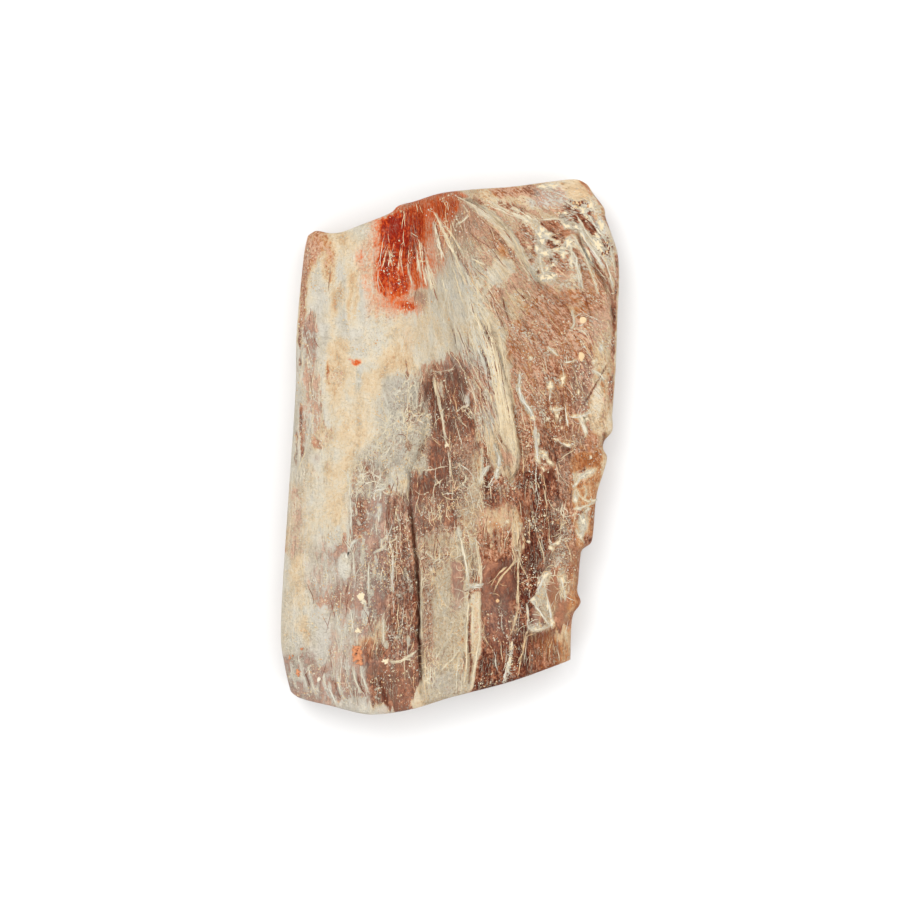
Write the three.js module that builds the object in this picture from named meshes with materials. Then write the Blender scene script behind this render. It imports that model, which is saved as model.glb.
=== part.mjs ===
// A frozen slab of raw lamb ribs, lying with its outer, fat-covered side up.
//
// Millimetres, +Z up. +Y runs along the slab and +X across it, and the origin is under the middle
// of the slab's box, on the surface that it rests on.
//
// The slab is one solid: a net of columns and rows stretched over an outline of four sides.
// - The top carries fat pads, sheets of muscle and fat that lap over each other, and strands.
// - The long left side is rounded, the two ends are sawn, and the long right side is torn.
// - The underside shows the ribs as low ridges, whose flat crowns the slab rests on.

import * as THREE from "three";

// ---- Driving sizes -------------------------------------------------------------------------

const THICKNESS = 26.4; // the plain slab, before its pads and folds
const TAPER = 1.6; // how much thicker it is at its left side, and thinner at its right
const EDGE_ROUND = { left: 16, right: 8, top: 5, bottom: 3.5 }; // how far in the top rounds off
const EDGE_DROP = { left: 12, right: 6, top: 4, bottom: 2.5 }; // how far down it rounds off

const RIBS = 9; // ridges on the underside, each between two valleys
const RIB_VALLEY = 2.2; // how deep the meat lies back between the ribs
const UNDER_INSET = 5; // the underside stands in from the outline
const FOOT = 1.4; // height of the lowest band of the sides, where they turn under
const UNEVENNESS = 0.35; // gentle rise and fall all over the top

const COLUMNS = 56; // net across the top
const ROWS = 8 * RIBS; // net along the slab, so that three rows lie on each rib's flat crown
const UNDER_COLUMNS = 10;
const EDGE_CROWDING = 0.6; // how much closer the net's lines stand at the edges

// The sides' bands between the top and the foot: how far down, and how far in from the outline.
const SIDE_BANDS = [
  { down: 0.32, inset: 0.5 },
  { down: 0.64, inset: 1.7 },
];

// ---- The outline: one smooth line for each side ------------------------------------------------

const CORNERS = {
  bottomLeft: [-79.5, -122],
  bottomRight: [60, -106],
  topLeft: [-71, 105.5],
  topRight: [68.6, 131],
};

// Stations of [y, x], from the bottom end to the top end.
const LEFT_SIDE = [
  CORNERS.bottomLeft.toReversed(),
  [-110, -82.3],
  [-96, -84.3],
  [-62, -83],
  [-17, -80],
  [28, -77],
  [58, -76.4],
  [96, -72.8],
  CORNERS.topLeft.toReversed(),
];
const RIGHT_SIDE = [
  CORNERS.bottomRight.toReversed(),
  [-90, 60.4],
  [-83, 61.5],
  [-77.5, 65],
  [-72, 63.4],
  [-66, 63.9],
  [-54, 65],
  [-51, 66],
  [-48, 70],
  [-43, 71.2],
  [-24, 73],
  [-12, 76.6],
  [-5, 78.2],
  [-1, 76.3],
  [3, 76.9],
  [8, 80.8],
  [16, 80.8],
  [40, 82.6],
  [64, 83.3],
  [84, 84.2],
  [97, 83.3],
  [107, 80],
  [114, 77.6],
  [119, 76.6],
  [126, 71.6],
  CORNERS.topRight.toReversed(),
];

// Stations of [x, y], from the left to the right.
const TOP_END = [
  CORNERS.topLeft,
  [-66.5, 107.5],
  [-60, 106.2],
  [-54, 106.6],
  [-45, 110],
  [-29, 116.6],
  [-26, 119.6],
  [-18, 121.9],
  [-5, 126],
  [10, 127.8],
  [30, 129.3],
  [50, 132.1],
  [63, 133.2],
  CORNERS.topRight,
];
const BOTTOM_END = [
  CORNERS.bottomLeft,
  [-75, -124.6],
  [-60, -128.2],
  [-46, -131.8],
  [-38, -132.8],
  [-20, -130.4],
  [0, -124.4],
  [30, -116.6],
  CORNERS.bottomRight,
];

// ---- The top's relief --------------------------------------------------------------------------

// Broad pads and hollows: middle, half-width, half-length and rise.
const PADS = {
  left_fat_pad: { at: [-47, 28], across: 24, along: 42, rise: 3 },
  upper_left_pad: { at: [-48, 84], across: 20, along: 22, rise: 1.2 },
  shoulder_muscle: { at: [44, 78], across: 28, along: 40, rise: 3 },
  lower_left_muscle: { at: [-46, -72], across: 24, along: 40, rise: 2 },
  lower_right_muscle: { at: [36, -62], across: 20, along: 42, rise: 1.4 },
  sawn_corner: { at: [54, 128], across: 20, along: 9, rise: -3.6 },
  middle_hollow: { at: [0, 16], across: 13, along: 34, rise: -2.2 },
  membrane_window: { at: [22, -86], across: 9, along: 10, rise: -1.4 },
  lower_right_corner: { at: [50, -100], across: 14, along: 14, rise: -1.8 },
};

// Edges where one sheet lies over the next, drawn from its top to its bottom. The sheet above is
// on the side named; it stands proud by rise, sinks back over reach, and has a gap at its foot.
const EAST = 1;
const WEST = -1;
const LAPS = {
  brisket_strip: {
    line: [[-20, -24], [-17.6, -48], [-15.4, -70], [-15.2, -95], [-14.2, -113], [-14.4, -131]],
    upper: EAST,
    rise: 2.4,
    reach: 18,
    gap: 2.2,
  },
  flank_fold: {
    line: [[19, 68], [24, 48], [29, 28], [33, 8], [34.8, -4], [33, -13], [27, -19]],
    upper: WEST,
    rise: 2.4,
    reach: 13,
    gap: 1.2,
  },
  shoulder_fold: {
    line: [[-3, 125], [13, 120.5], [24, 112], [32, 101], [37, 91], [45, 80], [58, 66]],
    upper: EAST,
    rise: 1.9,
    reach: 12,
    gap: 1.2,
  },
  edge_fold: {
    line: [[62, 108], [68, 95], [76, 83], [80, 70], [81, 50]],
    upper: EAST,
    rise: 1.5,
    reach: 8,
    gap: 1.2,
  },
  fat_pad_edge: {
    line: [[-2, 46], [-11, 34], [-12, 14], [-14, 0], [-20, -12], [-21, -24], [-31, -24]],
    upper: WEST,
    rise: 2,
    reach: 16,
    gap: 0.4,
  },
};

// Strands and ropes of membrane that stand on the top: line, rise and half-width.
const STRANDS = {
  left_rope: {
    line: [[5, -38], [7, -52], [8.8, -66], [9, -90], [8, -106], [6, -121]],
    rise: 1.7,
    half: 2.1,
  },
  right_rope: {
    line: [[12, -32], [14.5, -50], [14, -66], [12.6, -85], [12.8, -105], [11.4, -119]],
    rise: 1.7,
    half: 2.1,
  },
  long_strand: {
    line: [[-8, 117], [-3, 104], [3, 93], [8, 81], [10.6, 72], [14, 60], [20, 42], [25, 22]],
    rise: 1.3,
    half: 2.2,
  },
  crossing_strand: {
    line: [[33, 32], [38, 23], [43, 12], [51, 5], [60, 0]],
    rise: 1.2,
    half: 2,
  },
  shoulder_seam: {
    line: [[58, 96], [62, 92], [64, 84], [67, 74]],
    rise: 1.1,
    half: 2,
  },
};

const GAP_HALF_WIDTH = 3; // of the gap at a lap's foot
const LAP_STEEPNESS = 4; // how far a sheet's edge takes to rise
const END_TAPER = 0.14; // share of a line's length over which a lap or strand fades at each end
const LINE_STEPS = 24; // straight pieces that a lap's or strand's line is measured by

// ---- Curves and profiles -------------------------------------------------------------------

const { clamp, lerp, smoothstep } = THREE.MathUtils;

// The smooth line through [place, value] stations, read at a place.
function readStations(stations, place) {
  const last = stations.length - 1;
  let i = 0;
  while (i < last - 1 && place > stations[i + 1][0]) i++;
  const slopeAt = (k) => {
    const before = stations[Math.max(k - 1, 0)];
    const after = stations[Math.min(k + 1, last)];
    return (after[1] - before[1]) / (after[0] - before[0]);
  };
  const [start, from] = stations[i];
  const [end, to] = stations[i + 1];
  const span = end - start;
  const t = clamp((place - start) / span, 0, 1);
  const s = 1 - t;
  return (
    s * s * (1 + 2 * t) * from +
    t * t * (1 + 2 * s) * to +
    s * t * (s * slopeAt(i) - t * slopeAt(i + 1)) * span
  );
}

// Where column u and row v of the net lie in the outline, both from 0 to 1.
function plan(u, v) {
  const { bottomLeft, bottomRight, topLeft, topRight } = CORNERS;
  const leftY = lerp(bottomLeft[1], topLeft[1], v);
  const rightY = lerp(bottomRight[1], topRight[1], v);
  const bottomX = lerp(bottomLeft[0], bottomRight[0], u);
  const topX = lerp(topLeft[0], topRight[0], u);
  const left = [readStations(LEFT_SIDE, leftY), leftY];
  const right = [readStations(RIGHT_SIDE, rightY), rightY];
  const bottom = [bottomX, readStations(BOTTOM_END, bottomX)];
  const top = [topX, readStations(TOP_END, topX)];
  return [0, 1].map((k) => {
    const acrossSides = lerp(left[k], right[k], u);
    const alongEnds = lerp(bottom[k], top[k], v);
    const corners = lerp(lerp(bottomLeft[k], bottomRight[k], u), lerp(topLeft[k], topRight[k], u), v);
    return acrossSides + alongEnds - corners;
  });
}

const WIDTH = CORNERS.bottomRight[0] - CORNERS.bottomLeft[0];
const LENGTH = CORNERS.topLeft[1] - CORNERS.bottomLeft[1];

// The same, with the whole outline drawn in by an inset.
function insetPlan(u, v, inset) {
  const du = inset / WIDTH;
  const dv = inset / LENGTH;
  return plan(lerp(du, 1 - du, u), lerp(dv, 1 - dv, v));
}

// The line through the points of a lap or strand, as straight pieces.
function tracedLine(points) {
  const curve = new THREE.SplineCurve(points.map(([x, y]) => new THREE.Vector2(x, y)));
  return curve.getSpacedPoints(LINE_STEPS);
}

// How far (x, y) is from a traced line, on which side of it, and how far along it.
function fromLine(traced, x, y) {
  let nearest = { distance: Infinity };
  for (let i = 0; i < traced.length - 1; i++) {
    const a = traced[i];
    const b = traced[i + 1];
    const dx = b.x - a.x;
    const dy = b.y - a.y;
    const t = clamp(((x - a.x) * dx + (y - a.y) * dy) / (dx * dx + dy * dy), 0, 1);
    const distance = Math.hypot(x - a.x - t * dx, y - a.y - t * dy);
    if (distance < nearest.distance) {
      const side = dx * (y - a.y) - dy * (x - a.x) > 0 ? EAST : WEST;
      nearest = { distance, side, along: (i + t) / (traced.length - 1) };
    }
  }
  return nearest;
}

const fadeAtEnds = (along) => smoothstep(Math.min(along, 1 - along), 0, END_TAPER);

const bell = (distance, half) => Math.exp(-((distance / half) ** 2));

// A quarter round: how much of the drop is left at a distance in from the edge.
function roundOff(distance, reach) {
  const t = clamp(1 - distance / reach, 0, 1);
  return 1 - Math.sqrt(1 - t * t);
}

// ---- The top -----------------------------------------------------------------------------------

function padHeight({ at, across, along, rise }, x, y) {
  return rise * bell(Math.hypot((x - at[0]) / across, (y - at[1]) / along), 1);
}

function lapHeight({ traced, upper, rise, reach, gap }, x, y) {
  const { distance, side, along } = fromLine(traced, x, y);
  const fade = fadeAtEnds(along);
  const cut = -gap * bell(distance, GAP_HALF_WIDTH);
  if (side !== upper) return fade * cut;
  const edge = smoothstep(distance, 0, LAP_STEEPNESS);
  return fade * (rise * edge * Math.exp(-distance / reach) + cut * (1 - edge));
}

function strandHeight({ traced, rise, half }, x, y) {
  const { distance, along } = fromLine(traced, x, y);
  return fadeAtEnds(along) * rise * bell(distance, half);
}

const withTrace = (shapes) =>
  Object.values(shapes).map((shape) => ({ ...shape, traced: tracedLine(shape.line) }));
const laps = withTrace(LAPS);
const strands = withTrace(STRANDS);

function topHeight(u, v, x, y) {
  const width = plan(1, v)[0] - plan(0, v)[0];
  const length = plan(u, 1)[1] - plan(u, 0)[1];
  let z = THICKNESS + lerp(TAPER, -TAPER, u);
  z += UNEVENNESS * Math.sin(x / 9 + y / 23) * Math.sin(y / 13 - x / 31);
  for (const pad of Object.values(PADS)) z += padHeight(pad, x, y);
  for (const lap of laps) z += lapHeight(lap, x, y);
  for (const strand of strands) z += strandHeight(strand, x, y);
  z -= EDGE_DROP.left * roundOff(u * width, EDGE_ROUND.left);
  z -= EDGE_DROP.right * roundOff((1 - u) * width, EDGE_ROUND.right);
  z -= EDGE_DROP.bottom * roundOff(v * length, EDGE_ROUND.bottom);
  z -= EDGE_DROP.top * roundOff((1 - v) * length, EDGE_ROUND.top);
  return z;
}

// ---- The underside -----------------------------------------------------------------------------

// Flat over the middle third of each rib, and deepest halfway between two ribs.
function underHeight(u, v) {
  const fromValley = Math.abs(((v * RIBS + 0.5) % 1) - 0.5) * 2;
  const depth = 1 - smoothstep(fromValley, 0, 2 / 3);
  const towardsSides = 1 - 0.5 * (2 * u - 1) ** 2;
  return RIB_VALLEY * depth * towardsSides;
}

// ---- The net -----------------------------------------------------------------------------------

const vertices = [];
const triangles = [];

function addVertex(x, y, z) {
  return vertices.push([x, y, z]) - 1;
}

// A grid of vertex numbers, indexed by column and then by row.
function addSheet(columns, rows, vertexAt) {
  return Array.from({ length: columns + 1 }, (_, c) =>
    Array.from({ length: rows + 1 }, (_, r) => vertexAt(c / columns, r / rows)),
  );
}

// Fills a sheet with two triangles for each cell, facing up or down. Each cell is split along
// its more level diagonal, so that the edges of laps stay clean.
function fillSheet(sheet, up) {
  const step = (i, j) => Math.abs(vertices[i][2] - vertices[j][2]);
  for (let c = 0; c < sheet.length - 1; c++) {
    for (let r = 0; r < sheet[c].length - 1; r++) {
      const [a, b] = [sheet[c][r], sheet[c + 1][r]];
      const [d, e] = [sheet[c][r + 1], sheet[c + 1][r + 1]];
      const pair = step(a, e) < step(b, d) ? [[a, b, e], [a, e, d]] : [[a, b, d], [b, e, d]];
      triangles.push(...(up ? pair : pair.map((t) => t.toReversed())));
    }
  }
}

// The cells of a sheet's rim as { u, v, place }, counterclockwise; place runs from 0 to 4.
function rimOf(columns, rows) {
  const rim = [];
  for (let c = 0; c < columns; c++) rim.push({ u: c / columns, v: 0, place: c / columns });
  for (let r = 0; r < rows; r++) rim.push({ u: 1, v: r / rows, place: 1 + r / rows });
  for (let c = columns; c > 0; c--) rim.push({ u: c / columns, v: 1, place: 3 - c / columns });
  for (let r = rows; r > 0; r--) rim.push({ u: 0, v: r / rows, place: 4 - r / rows });
  return rim;
}

// Joins two rims, the upper one first, by always stepping along the one that is behind.
function joinRims(upper, lower) {
  const place = (rim, i) => (i < rim.length ? rim[i].place : 4);
  let i = 0;
  let j = 0;
  while (i < upper.length || j < lower.length) {
    const high = upper[i % upper.length].vertex;
    const low = lower[j % lower.length].vertex;
    if (j >= lower.length || (i < upper.length && place(upper, i + 1) <= place(lower, j + 1))) {
      triangles.push([high, low, upper[(i + 1) % upper.length].vertex]);
      i++;
    } else {
      triangles.push([high, low, lower[(j + 1) % lower.length].vertex]);
      j++;
    }
  }
}

// Crowds the net's lines towards both edges.
const crowded = (t) => t - (EDGE_CROWDING / (2 * Math.PI)) * Math.sin(2 * Math.PI * t);

function buildSlab() {
  const top = addSheet(COLUMNS, ROWS, (s, t) => {
    const [u, v] = [crowded(s), crowded(t)];
    const [x, y] = plan(u, v);
    return addVertex(x, y, topHeight(u, v, x, y));
  });
  fillSheet(top, true);

  const under = addSheet(UNDER_COLUMNS, ROWS, (u, v) => {
    const [x, y] = insetPlan(u, v, UNDER_INSET);
    return addVertex(x, y, underHeight(u, v));
  });
  fillSheet(under, false);

  let rim = rimOf(COLUMNS, ROWS).map((cell) => {
    const vertex = top[Math.round(cell.u * COLUMNS)][Math.round(cell.v * ROWS)];
    return { ...cell, vertex, edgeHeight: vertices[vertex][2] };
  });
  const footBand = { height: FOOT, inset: UNDER_INSET / 3 };
  for (const band of [...SIDE_BANDS, footBand]) {
    const lower = rim.map((cell) => {
      const [x, y] = insetPlan(crowded(cell.u), crowded(cell.v), band.inset);
      const z = band.height ?? lerp(cell.edgeHeight, FOOT, band.down);
      return { ...cell, vertex: addVertex(x, y, z) };
    });
    joinRims(rim, lower);
    rim = lower;
  }
  const underRim = rimOf(UNDER_COLUMNS, ROWS).map((cell) => ({
    ...cell,
    vertex: under[Math.round(cell.u * UNDER_COLUMNS)][Math.round(cell.v * ROWS)],
  }));
  const crowdedRim = rim.map((cell) => ({ ...cell, place: crowdedPlace(cell.place) }));
  joinRims(crowdedRim, underRim);

  const geometry = new THREE.BufferGeometry();
  geometry.setAttribute("position", new THREE.Float32BufferAttribute(vertices.flat(), 3));
  geometry.setIndex(triangles.flat());
  geometry.computeBoundingBox();
  const middle = geometry.boundingBox.getCenter(new THREE.Vector3());
  geometry.translate(-middle.x, -middle.y, -geometry.boundingBox.min.z);
  geometry.computeVertexNormals();
  return geometry;
}

// Where a place on the rim lies once its side's lines are crowded.
function crowdedPlace(place) {
  const side = Math.floor(place);
  return side + crowded(place - side);
}

// ---- The part ----------------------------------------------------------------------------------

const frozenMeat = new THREE.MeshStandardMaterial({
  name: "frozen_meat",
  color: 0xb08d78,
  roughness: 0.6,
  metalness: 0,
});

const slab = new THREE.Mesh(buildSlab(), frozenMeat);
slab.name = "lamb_ribs";

const part = new THREE.Group();
part.name = "raw_lamb_ribs";
part.add(slab);

export default part;
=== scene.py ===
"""A frozen slab of raw lamb ribs on a pale floor, seen from straight above.

The slab is one closed mesh over the frame's solid, in four steps:
1. The plan: a raster over the slab, where tissues, frost, blood and creases are laid by areas,
   spots and strands, whose edges fray along the meat's fibres.
2. The mesh: a fine net over the same outline as the solid, raised by the same pads, laps and
   strands, with the plan's values carried by its vertices.
3. The finish: one node material, which turns those values into fat, lean meat, blood, frost,
   and painted shade in pits, hollows, cracks and creases.
4. The strands, crumbs and frost that stand free on it, each kind as one mesh.

Lengths are in millimetres until they become a mesh, in the outline's own frame: +X across the slab,
+Y along it, +Z up.
"""

import math

import bpy
import numpy as np
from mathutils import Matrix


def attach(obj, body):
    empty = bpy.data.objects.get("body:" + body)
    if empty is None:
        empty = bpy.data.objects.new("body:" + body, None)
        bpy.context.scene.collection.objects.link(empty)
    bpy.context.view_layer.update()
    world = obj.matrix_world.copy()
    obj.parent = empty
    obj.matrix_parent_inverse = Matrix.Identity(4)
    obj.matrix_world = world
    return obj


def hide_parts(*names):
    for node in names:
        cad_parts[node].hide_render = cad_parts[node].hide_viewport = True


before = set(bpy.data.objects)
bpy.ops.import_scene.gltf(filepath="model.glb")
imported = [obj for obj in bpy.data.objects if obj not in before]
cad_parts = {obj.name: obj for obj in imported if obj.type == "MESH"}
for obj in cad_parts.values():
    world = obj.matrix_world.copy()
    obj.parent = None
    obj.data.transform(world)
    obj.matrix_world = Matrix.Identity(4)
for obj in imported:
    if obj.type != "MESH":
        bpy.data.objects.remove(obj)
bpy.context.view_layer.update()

MM = 0.001  # in metres

# ---- The solid's own sizes ---------------------------------------------------------------------

THICKNESS = 26.4
TAPER = 1.6
UNEVENNESS = 0.35
EDGE_ROUND = {"left": 16, "right": 8, "top": 5, "bottom": 3.5}
EDGE_DROP = {"left": 12, "right": 6, "top": 4, "bottom": 2.5}
RIBS = 9
RIB_VALLEY = 2.2
UNDER_INSET = 5
FOOT = 1.4

BOTTOM_LEFT = (-79.5, -122)
BOTTOM_RIGHT = (60, -106)
TOP_LEFT = (-71, 105.5)
TOP_RIGHT = (68.6, 131)

# Each side's stations: [y, x] on the two long sides, [x, y] on the two ends.
LEFT_SIDE = [
    (-122, -79.5), (-110, -82.3), (-96, -84.3), (-62, -83), (-17, -80),
    (28, -77), (58, -76.4), (96, -72.8), (105.5, -71),
]
RIGHT_SIDE = [
    (-106, 60), (-90, 60.4), (-83, 61.5), (-77.5, 65), (-72, 63.4), (-66, 63.9), (-54, 65),
    (-51, 66), (-48, 70), (-43, 71.2), (-24, 73), (-12, 76.6), (-5, 78.2), (-1, 76.3),
    (3, 76.9), (8, 80.8), (16, 80.8), (40, 82.6), (64, 83.3), (84, 84.2), (97, 83.3),
    (107, 80), (114, 77.6), (119, 76.6), (126, 71.6), (131, 68.6),
]
TOP_END = [
    (-71, 105.5), (-66.5, 107.5), (-60, 106.2), (-54, 106.6), (-45, 110), (-29, 116.6),
    (-26, 119.6), (-18, 121.9), (-5, 126), (10, 127.8), (30, 129.3), (50, 132.1),
    (63, 133.2), (68.6, 131),
]
BOTTOM_END = [
    (-79.5, -122), (-75, -124.6), (-60, -128.2), (-46, -131.8), (-38, -132.8),
    (-20, -130.4), (0, -124.4), (30, -116.6), (60, -106),
]

# Broad pads and hollows: middle, half-width, half-length and rise.
PADS = [
    ((-47, 28), 24, 42, 3.0),
    ((-48, 84), 20, 22, 1.2),
    ((44, 78), 28, 40, 3.0),
    ((-46, -72), 24, 40, 2.0),
    ((36, -62), 20, 42, 1.4),
    ((54, 128), 20, 9, -3.6),
    ((0, 16), 13, 34, -2.2),
    ((22, -86), 9, 10, -1.4),
    ((50, -100), 14, 14, -1.8),
]

EAST = 1
WEST = -1

# Sheets that lie over the next one: line, side of the upper sheet, rise, reach and gap.
LAPS = {
    "brisket strip": (
        [(-20, -24), (-17.6, -48), (-15.4, -70), (-15.2, -95), (-14.2, -113), (-14.4, -131)],
        EAST, 2.4, 18, 2.2,
    ),
    "flank fold": (
        [(19, 68), (24, 48), (29, 28), (33, 8), (34.8, -4), (33, -13), (27, -19)],
        WEST, 2.4, 13, 1.2,
    ),
    "shoulder fold": (
        [(-3, 125), (13, 120.5), (24, 112), (32, 101), (37, 91), (45, 80), (58, 66)],
        EAST, 1.9, 12, 1.2,
    ),
    "edge fold": ([(62, 108), (68, 95), (76, 83), (80, 70), (81, 50)], EAST, 1.5, 8, 1.2),
    "fat pad": (
        [(-2, 46), (-11, 34), (-12, 14), (-14, 0), (-20, -12), (-21, -24), (-31, -24)],
        WEST, 2.0, 16, 0.4,
    ),
}

# Strands and ropes of membrane: line, rise and half-width.
RIDGES = {
    "left rope": ([(5, -38), (7, -52), (8.8, -66), (9, -90), (8, -106), (6, -121)], 1.7, 2.1),
    "right rope": (
        [(12, -32), (14.5, -50), (14, -66), (12.6, -85), (12.8, -105), (11.4, -119)], 1.7, 2.1,
    ),
    "long strand": (
        [(-8, 117), (-3, 104), (3, 93), (8, 81), (10.6, 72), (14, 60), (20, 42), (25, 22)],
        1.3, 2.2,
    ),
    "crossing strand": ([(33, 32), (38, 23), (43, 12), (51, 5), (60, 0)], 1.2, 2.0),
    "shoulder seam": ([(58, 96), (62, 92), (64, 84), (67, 74)], 1.1, 2.0),
}

HIGHEST = 31.35  # what lies on the slab ends at this height
GAP_HALF_WIDTH = 0.65
LAP_STEEPNESS = 2.0
END_TAPER = 0.14

# ---- What stands on the top: sizes in millimetres, counts and shares ----------------------------

FIBRES_PER_HALF = 4.5  # a cord's fibres for each millimetre of its half-width
CORD_STEP = 1.2
CORD_RISE = 0.3
WEAVE_LENGTH = 14
CORD_MARGIN = 0.8
STRAYS_PER_LENGTH = 0.3
STRAY_STATIONS = 6
STRAY_HALVES = (0.08, 0.2)
SHADE_CORD_SHARE = 0.45  # width of a crease's dark cord, which is painted shade, as a share of the crease's
# Tone of dark cords, hairs and crumbs; the dark cords laid in creases are painted shade.
DARK_TONE = 0.96
HAIRS = 1700
CURLS = 2700
HAIR_STATIONS = 9
HAIR_MARGIN = 1
SHORTEST_HAIR = 3
HAIR_HALVES = (0.08, 0.24)
HAIR_TONES = (0.12, 0.6)
VEILED_TONES = (0.06, 0.2)
TUBE_SIDES = 4
GRAINS = 16000
GRAIN_LEAST = 0.14
GRAIN_MORE = 0.36  # how much larger than that the largest are
GRAIN_FLATNESS = 0.8
DOME_RINGS = 5
DOME_SIDES = 40
DOME_LOBES = [(3, 0.6), (5, 0.5), (8, 0.4), (13, 0.25)]  # how many, and how deep on a ragged dome
DOME_SUNK = 0.15
DRAW_BOX = [(-84.5, -132.8), (84.2, 133.2)]  # random places are drawn in it
LINE_PIECES = 6  # a smooth line's pieces between two of its points
SMALL_SPOT = 8  # the edge of a spot that is longer than this on one side of its middle frays


# ---- Curves, profiles and noise ----------------------------------------------------------------

def lerp(a, b, t):
    return a + (b - a) * t


def smoothstep(low, high, value):
    t = np.clip((value - low) / (high - low), 0, 1)
    return t * t * (3 - 2 * t)


def bell(distance, half):
    return np.exp(-((distance / half) ** 2))


def round_off(distance, reach):
    """How far a rounded edge has fallen: 1 at the edge, 0 from the reach inwards."""
    t = np.clip(1 - distance / reach, 0, 1)
    return 1 - np.sqrt(1 - t * t)


def read_stations(stations, place):
    """The smooth line through (place, value) stations, read at an array of places."""
    at, value = np.array(stations, float).T
    before = np.concatenate([[0], np.arange(len(at) - 1)])
    after = np.concatenate([np.arange(1, len(at)), [len(at) - 1]])
    slope = (value[after] - value[before]) / (at[after] - at[before])
    i = np.clip(np.searchsorted(at, place) - 1, 0, len(at) - 2)
    span = at[i + 1] - at[i]
    t = np.clip((place - at[i]) / span, 0, 1)
    s = 1 - t
    return (
        s * s * (1 + 2 * t) * value[i]
        + t * t * (1 + 2 * s) * value[i + 1]
        + s * t * (s * slope[i] - t * slope[i + 1]) * span
    )


def smooth_line(points):
    """A Catmull-Rom line through the points, as an array of (x, y)."""
    p = np.array(points, float)
    p = np.vstack([2 * p[0] - p[1], p, 2 * p[-1] - p[-2]])
    t = np.linspace(0, 1, LINE_PIECES, endpoint=False)[:, None]
    parts = []
    for a, b, c, d in zip(p, p[1:], p[2:], p[3:]):
        parts.append(
            b + 0.5 * t * (c - a + t * (2 * a - 5 * b + 4 * c - d + t * (3 * (b - c) + d - a)))
        )
    return np.vstack([*parts, p[-2:-1]])


def from_line(line, x, y):
    """Distance from a traced line, side of it, and share of the way along it."""
    best = np.full(x.shape, np.inf)
    side = np.ones(x.shape)
    along = np.zeros(x.shape)
    for i, (a, b) in enumerate(zip(line, line[1:])):
        d = b - a
        t = np.clip(((x - a[0]) * d[0] + (y - a[1]) * d[1]) / max(d @ d, 1e-9), 0, 1)
        distance = np.hypot(x - a[0] - t * d[0], y - a[1] - t * d[1])
        near = distance < best
        best = np.where(near, distance, best)
        side = np.where(near, np.sign(d[0] * (y - a[1]) - d[1] * (x - a[0])), side)
        along = np.where(near, (i + t) / (len(line) - 1), along)
    return best, side, along


LATTICE_SIZE = 256
LATTICE = np.random.default_rng(11).random((LATTICE_SIZE, LATTICE_SIZE))


def lumps(x, y, seed):
    """Smooth noise from 0 to 1, whose lumps are one unit across."""
    x = x + 37.3 * seed + 101
    y = y + 53.9 * seed + 77
    i = np.floor(x).astype(int)
    j = np.floor(y).astype(int)
    s = smoothstep(0, 1, x - i)
    t = smoothstep(0, 1, y - j)

    def at(a, b):
        return LATTICE[a % LATTICE_SIZE, b % LATTICE_SIZE]

    return lerp(lerp(at(i, j), at(i + 1, j), s), lerp(at(i, j + 1), at(i + 1, j + 1), s), t)


def cloud(x, y, seed, octaves=3):
    """Lumps with finer ones on them, spread about 0.5."""
    total = 0
    weight = 0
    for k in range(octaves):
        total = total + lumps(x * 2**k, y * 2**k, seed + k) / 2**k
        weight += 1 / 2**k
    return total / weight


# ---- The plan ----------------------------------------------------------------------------------

CELL = 0.5
CELLS_X = np.arange(-92, 92.01, CELL)
CELLS_Y = np.arange(-140, 140.01, CELL)
PLAN_X, PLAN_Y = np.meshgrid(CELLS_X, CELLS_Y)


def sample(field, x, y):
    """A plan's field read at any points, between its cells."""
    i = np.clip((x - CELLS_X[0]) / CELL, 0, len(CELLS_X) - 1.001)
    j = np.clip((y - CELLS_Y[0]) / CELL, 0, len(CELLS_Y) - 1.001)
    i0 = i.astype(int)
    j0 = j.astype(int)
    s = i - i0
    t = j - j0
    below = lerp(field[j0, i0], field[j0, i0 + 1], s)
    above = lerp(field[j0 + 1, i0], field[j0 + 1, i0 + 1], s)
    return lerp(below, above, t)


# Where the fibres begin to slant, over how far, and their slant beyond it.
SLANT_FROM = 30
SLANT_BLEND = 25
SLANT = 0.8


def across_fibres(x, y):
    """A coordinate that stays level along the fibres: they run along the slab on its left and
    lower parts, and slant down to the right on its upper right part."""
    slant = SLANT * SLANT_BLEND * np.log1p(np.exp((y - SLANT_FROM) / SLANT_BLEND))
    share = smoothstep(-25, 15, x) - 0.2 * smoothstep(45, 80, x)
    wander = 3 * lumps(x / 30, y / 45, 3) + 1.2 * lumps(x / 9, y / 22, 4)
    return x + share * slant + wander


FIBRE = across_fibres(PLAN_X, PLAN_Y)
FIBRE_Y, FIBRE_X = np.gradient(FIBRE, CELL)
FIBRE_LENGTH = np.hypot(FIBRE_X, FIBRE_Y)
ALONG_X = -FIBRE_Y / FIBRE_LENGTH
ALONG_Y = FIBRE_X / FIBRE_LENGTH


def fibres(width, length, seed):
    """Noise drawn out along the fibres, from 0 to 1."""
    return cloud(FIBRE / width, PLAN_Y / length, seed, octaves=2)


# Where a shape's edge is read: shifted along the fibres by a fringe, and all round by a wobble.
FRINGE = 9.0
WOBBLE = 5.0
fringe = FRINGE * (fibres(1.1, 16, 20) - 0.5)
RAGGED_X = PLAN_X + ALONG_X * fringe + WOBBLE * (cloud(PLAN_X / 8, PLAN_Y / 8, 22, 4) - 0.5)
RAGGED_Y = PLAN_Y + ALONG_Y * fringe + WOBBLE * (cloud(PLAN_X / 8, PLAN_Y / 8, 27, 4) - 0.5)
FINE_X = PLAN_X + (cloud(PLAN_X / 2.2, PLAN_Y / 3, 24) - 0.5)
FINE_Y = PLAN_Y + (cloud(PLAN_X / 2.2, PLAN_Y / 3, 25) - 0.5)


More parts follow.
